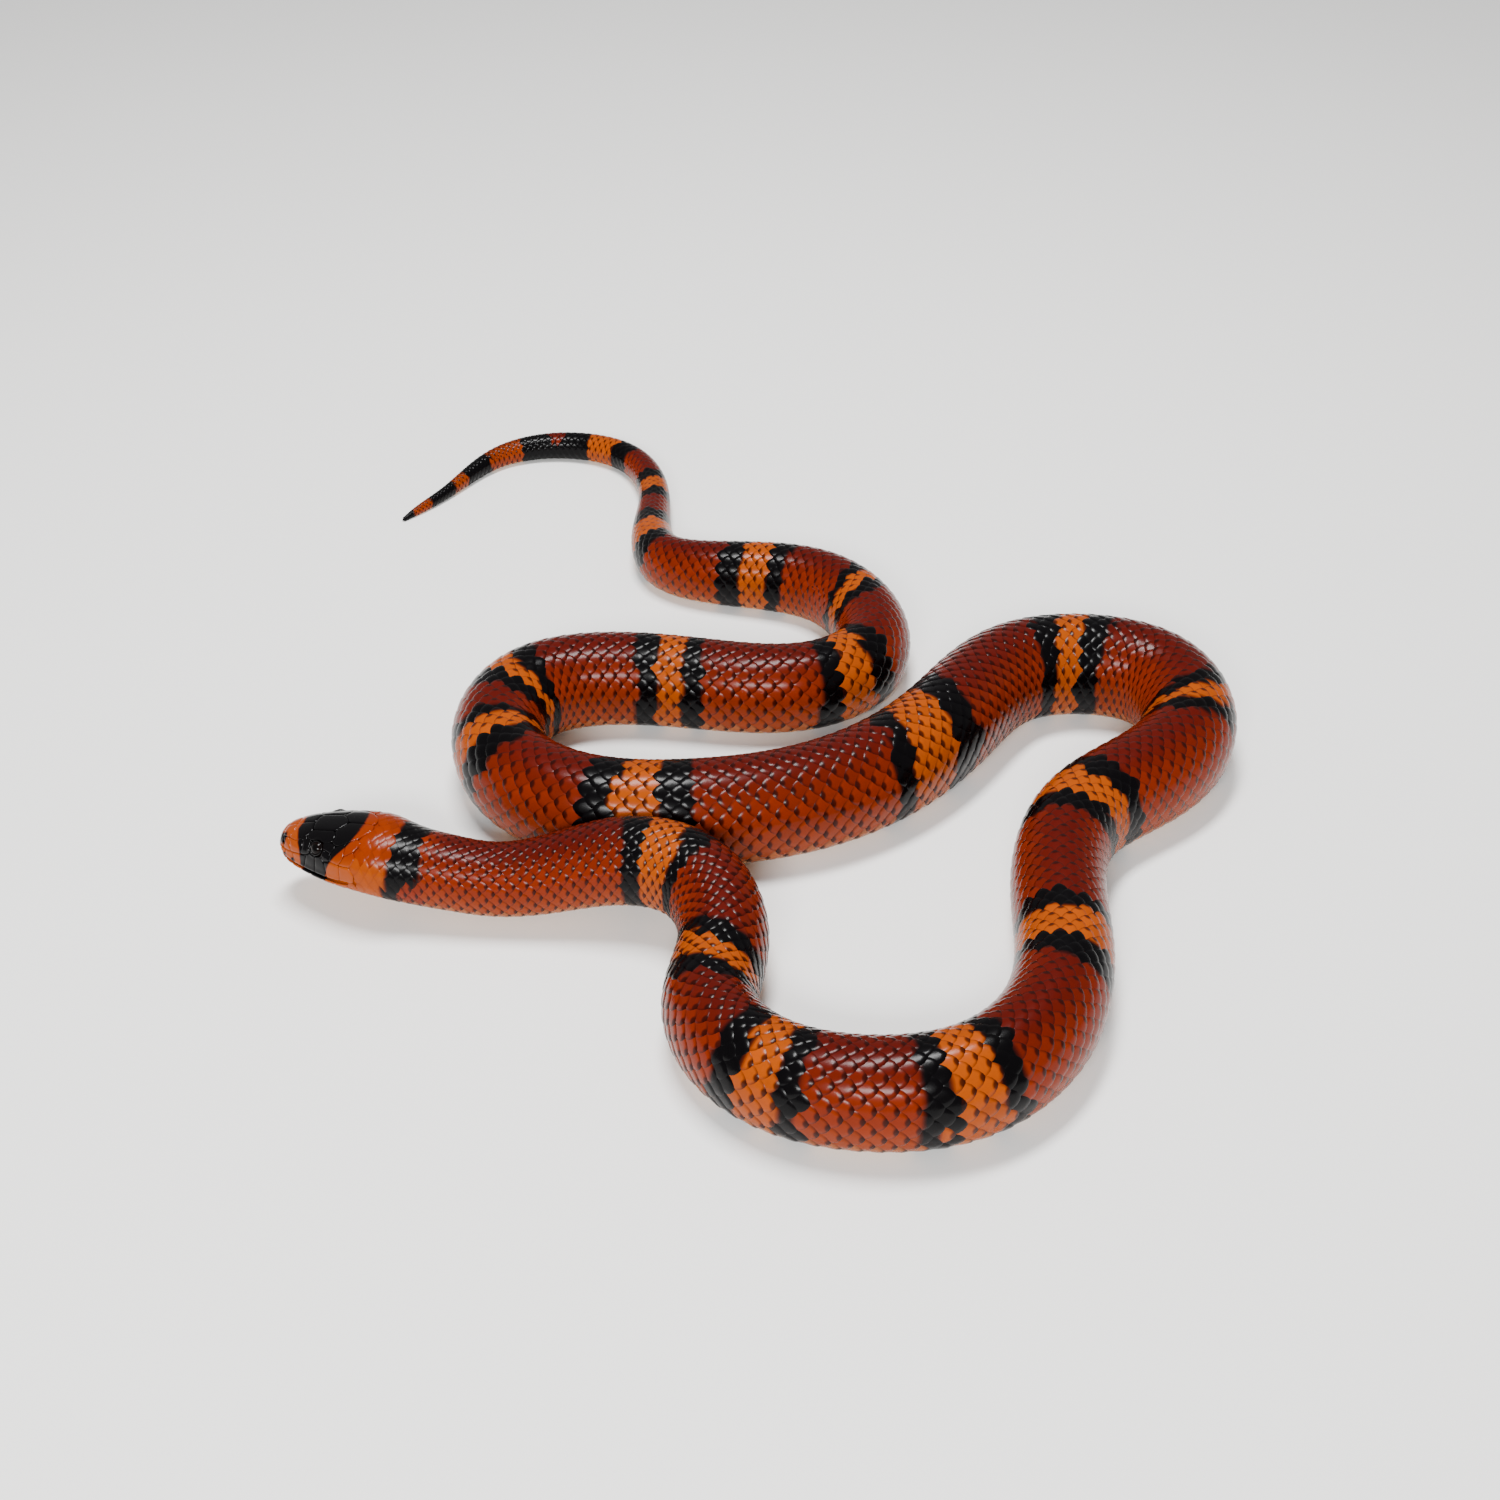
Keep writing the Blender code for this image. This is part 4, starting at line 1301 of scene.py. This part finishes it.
class SNAKE_OT_stage(bpy.types.Operator):
    """Pale floor, soft light and camera"""

    bl_idname = "snake.stage"
    bl_label = "Stage"

    def execute(self, context):
        stage = context.scene.snake_stage
        deselect_all()
        bpy.ops.mesh.primitive_plane_add(size=FLOOR_SIZE)
        floor = context.object
        floor.name = "floor"
        # Matt studio paper gives no highlight, only soft contact shadows.
        material, tree = new_material("matt_paper_floor")
        white = (*context.scene.snake_colours.floor, 1)
        finish = {"Base Color": white, "Roughness": 0.9, "Specular IOR Level": 0.2}
        add_node(tree, "OutputMaterial", Surface=add_node(tree, "BsdfPrincipled", finish))
        floor.data.materials.append(material)

        world = bpy.data.worlds.new("studio")
        context.scene.world = world
        world.use_nodes = True
        background = world.node_tree.nodes["Background"].inputs
        background["Color"].default_value = (1, 1, 1, 1)
        background["Strength"].default_value = stage.surround

        for name, place in LIGHTS.items():
            light = bpy.data.lights.new(name, "AREA")
            light.shape = "RECTANGLE"
            light.size, light.size_y = LIGHT_SIZE
            light.energy = stage.key
            lamp = bpy.data.objects.new(name, light)
            lamp.location = place
            lamp.rotation_euler = (-Vector(place)).to_track_quat("-Z", "Y").to_euler()
            context.scene.collection.objects.link(lamp)

        lens = bpy.data.cameras.new("camera")
        lens.lens = stage.focal
        lens.sensor_width = 36
        lens.clip_start = 0.01
        camera = bpy.data.objects.new("camera", lens)
        camera.location = stage.place
        camera.rotation_euler = (math.radians(90) - stage.pitch, 0, 0)
        context.scene.collection.objects.link(camera)
        context.scene.camera = camera
        return {"FINISHED"}


class SNAKE_PT_panel(bpy.types.Panel):
    """Sizes, colours and steps of the milk snake"""

    bl_label = "Milk snake"
    bl_idname = "SNAKE_PT_panel"
    bl_space_type = "VIEW_3D"
    bl_region_type = "UI"
    bl_category = "Milk snake"

    def draw(self, context):
        scene = context.scene
        for group in (scene.snake_colours, scene.snake_scales, scene.snake_stage):
            box = self.layout.box()
            for name in group.__annotations__:
                box.prop(group, name)
        for operator in OPERATORS:
            self.layout.operator(operator.bl_idname)


OPERATORS = (
    SNAKE_OT_skin, SNAKE_OT_scales, SNAKE_OT_belly, SNAKE_OT_shields, SNAKE_OT_eyes, SNAKE_OT_stage,
)
GROUPS = {"snake_colours": ColourSettings, "snake_scales": ScaleSettings, "snake_stage": StageSettings}


def register():
    for kind in (*GROUPS.values(), *OPERATORS, SNAKE_PT_panel):
        bpy.utils.register_class(kind)
    for name, kind in GROUPS.items():
        setattr(bpy.types.Scene, name, bpy.props.PointerProperty(type=kind))


def unregister():
    for name in GROUPS:
        delattr(bpy.types.Scene, name)
    for kind in (SNAKE_PT_panel, *OPERATORS[::-1], *GROUPS.values()):
        bpy.utils.unregister_class(kind)


def main():
    register()
    bpy.ops.snake.skin()
    bpy.ops.snake.scales()
    bpy.ops.snake.belly()
    bpy.ops.snake.shields()
    bpy.ops.snake.eyes()
    bpy.ops.snake.stage()


if __name__ == "__main__":
    main()
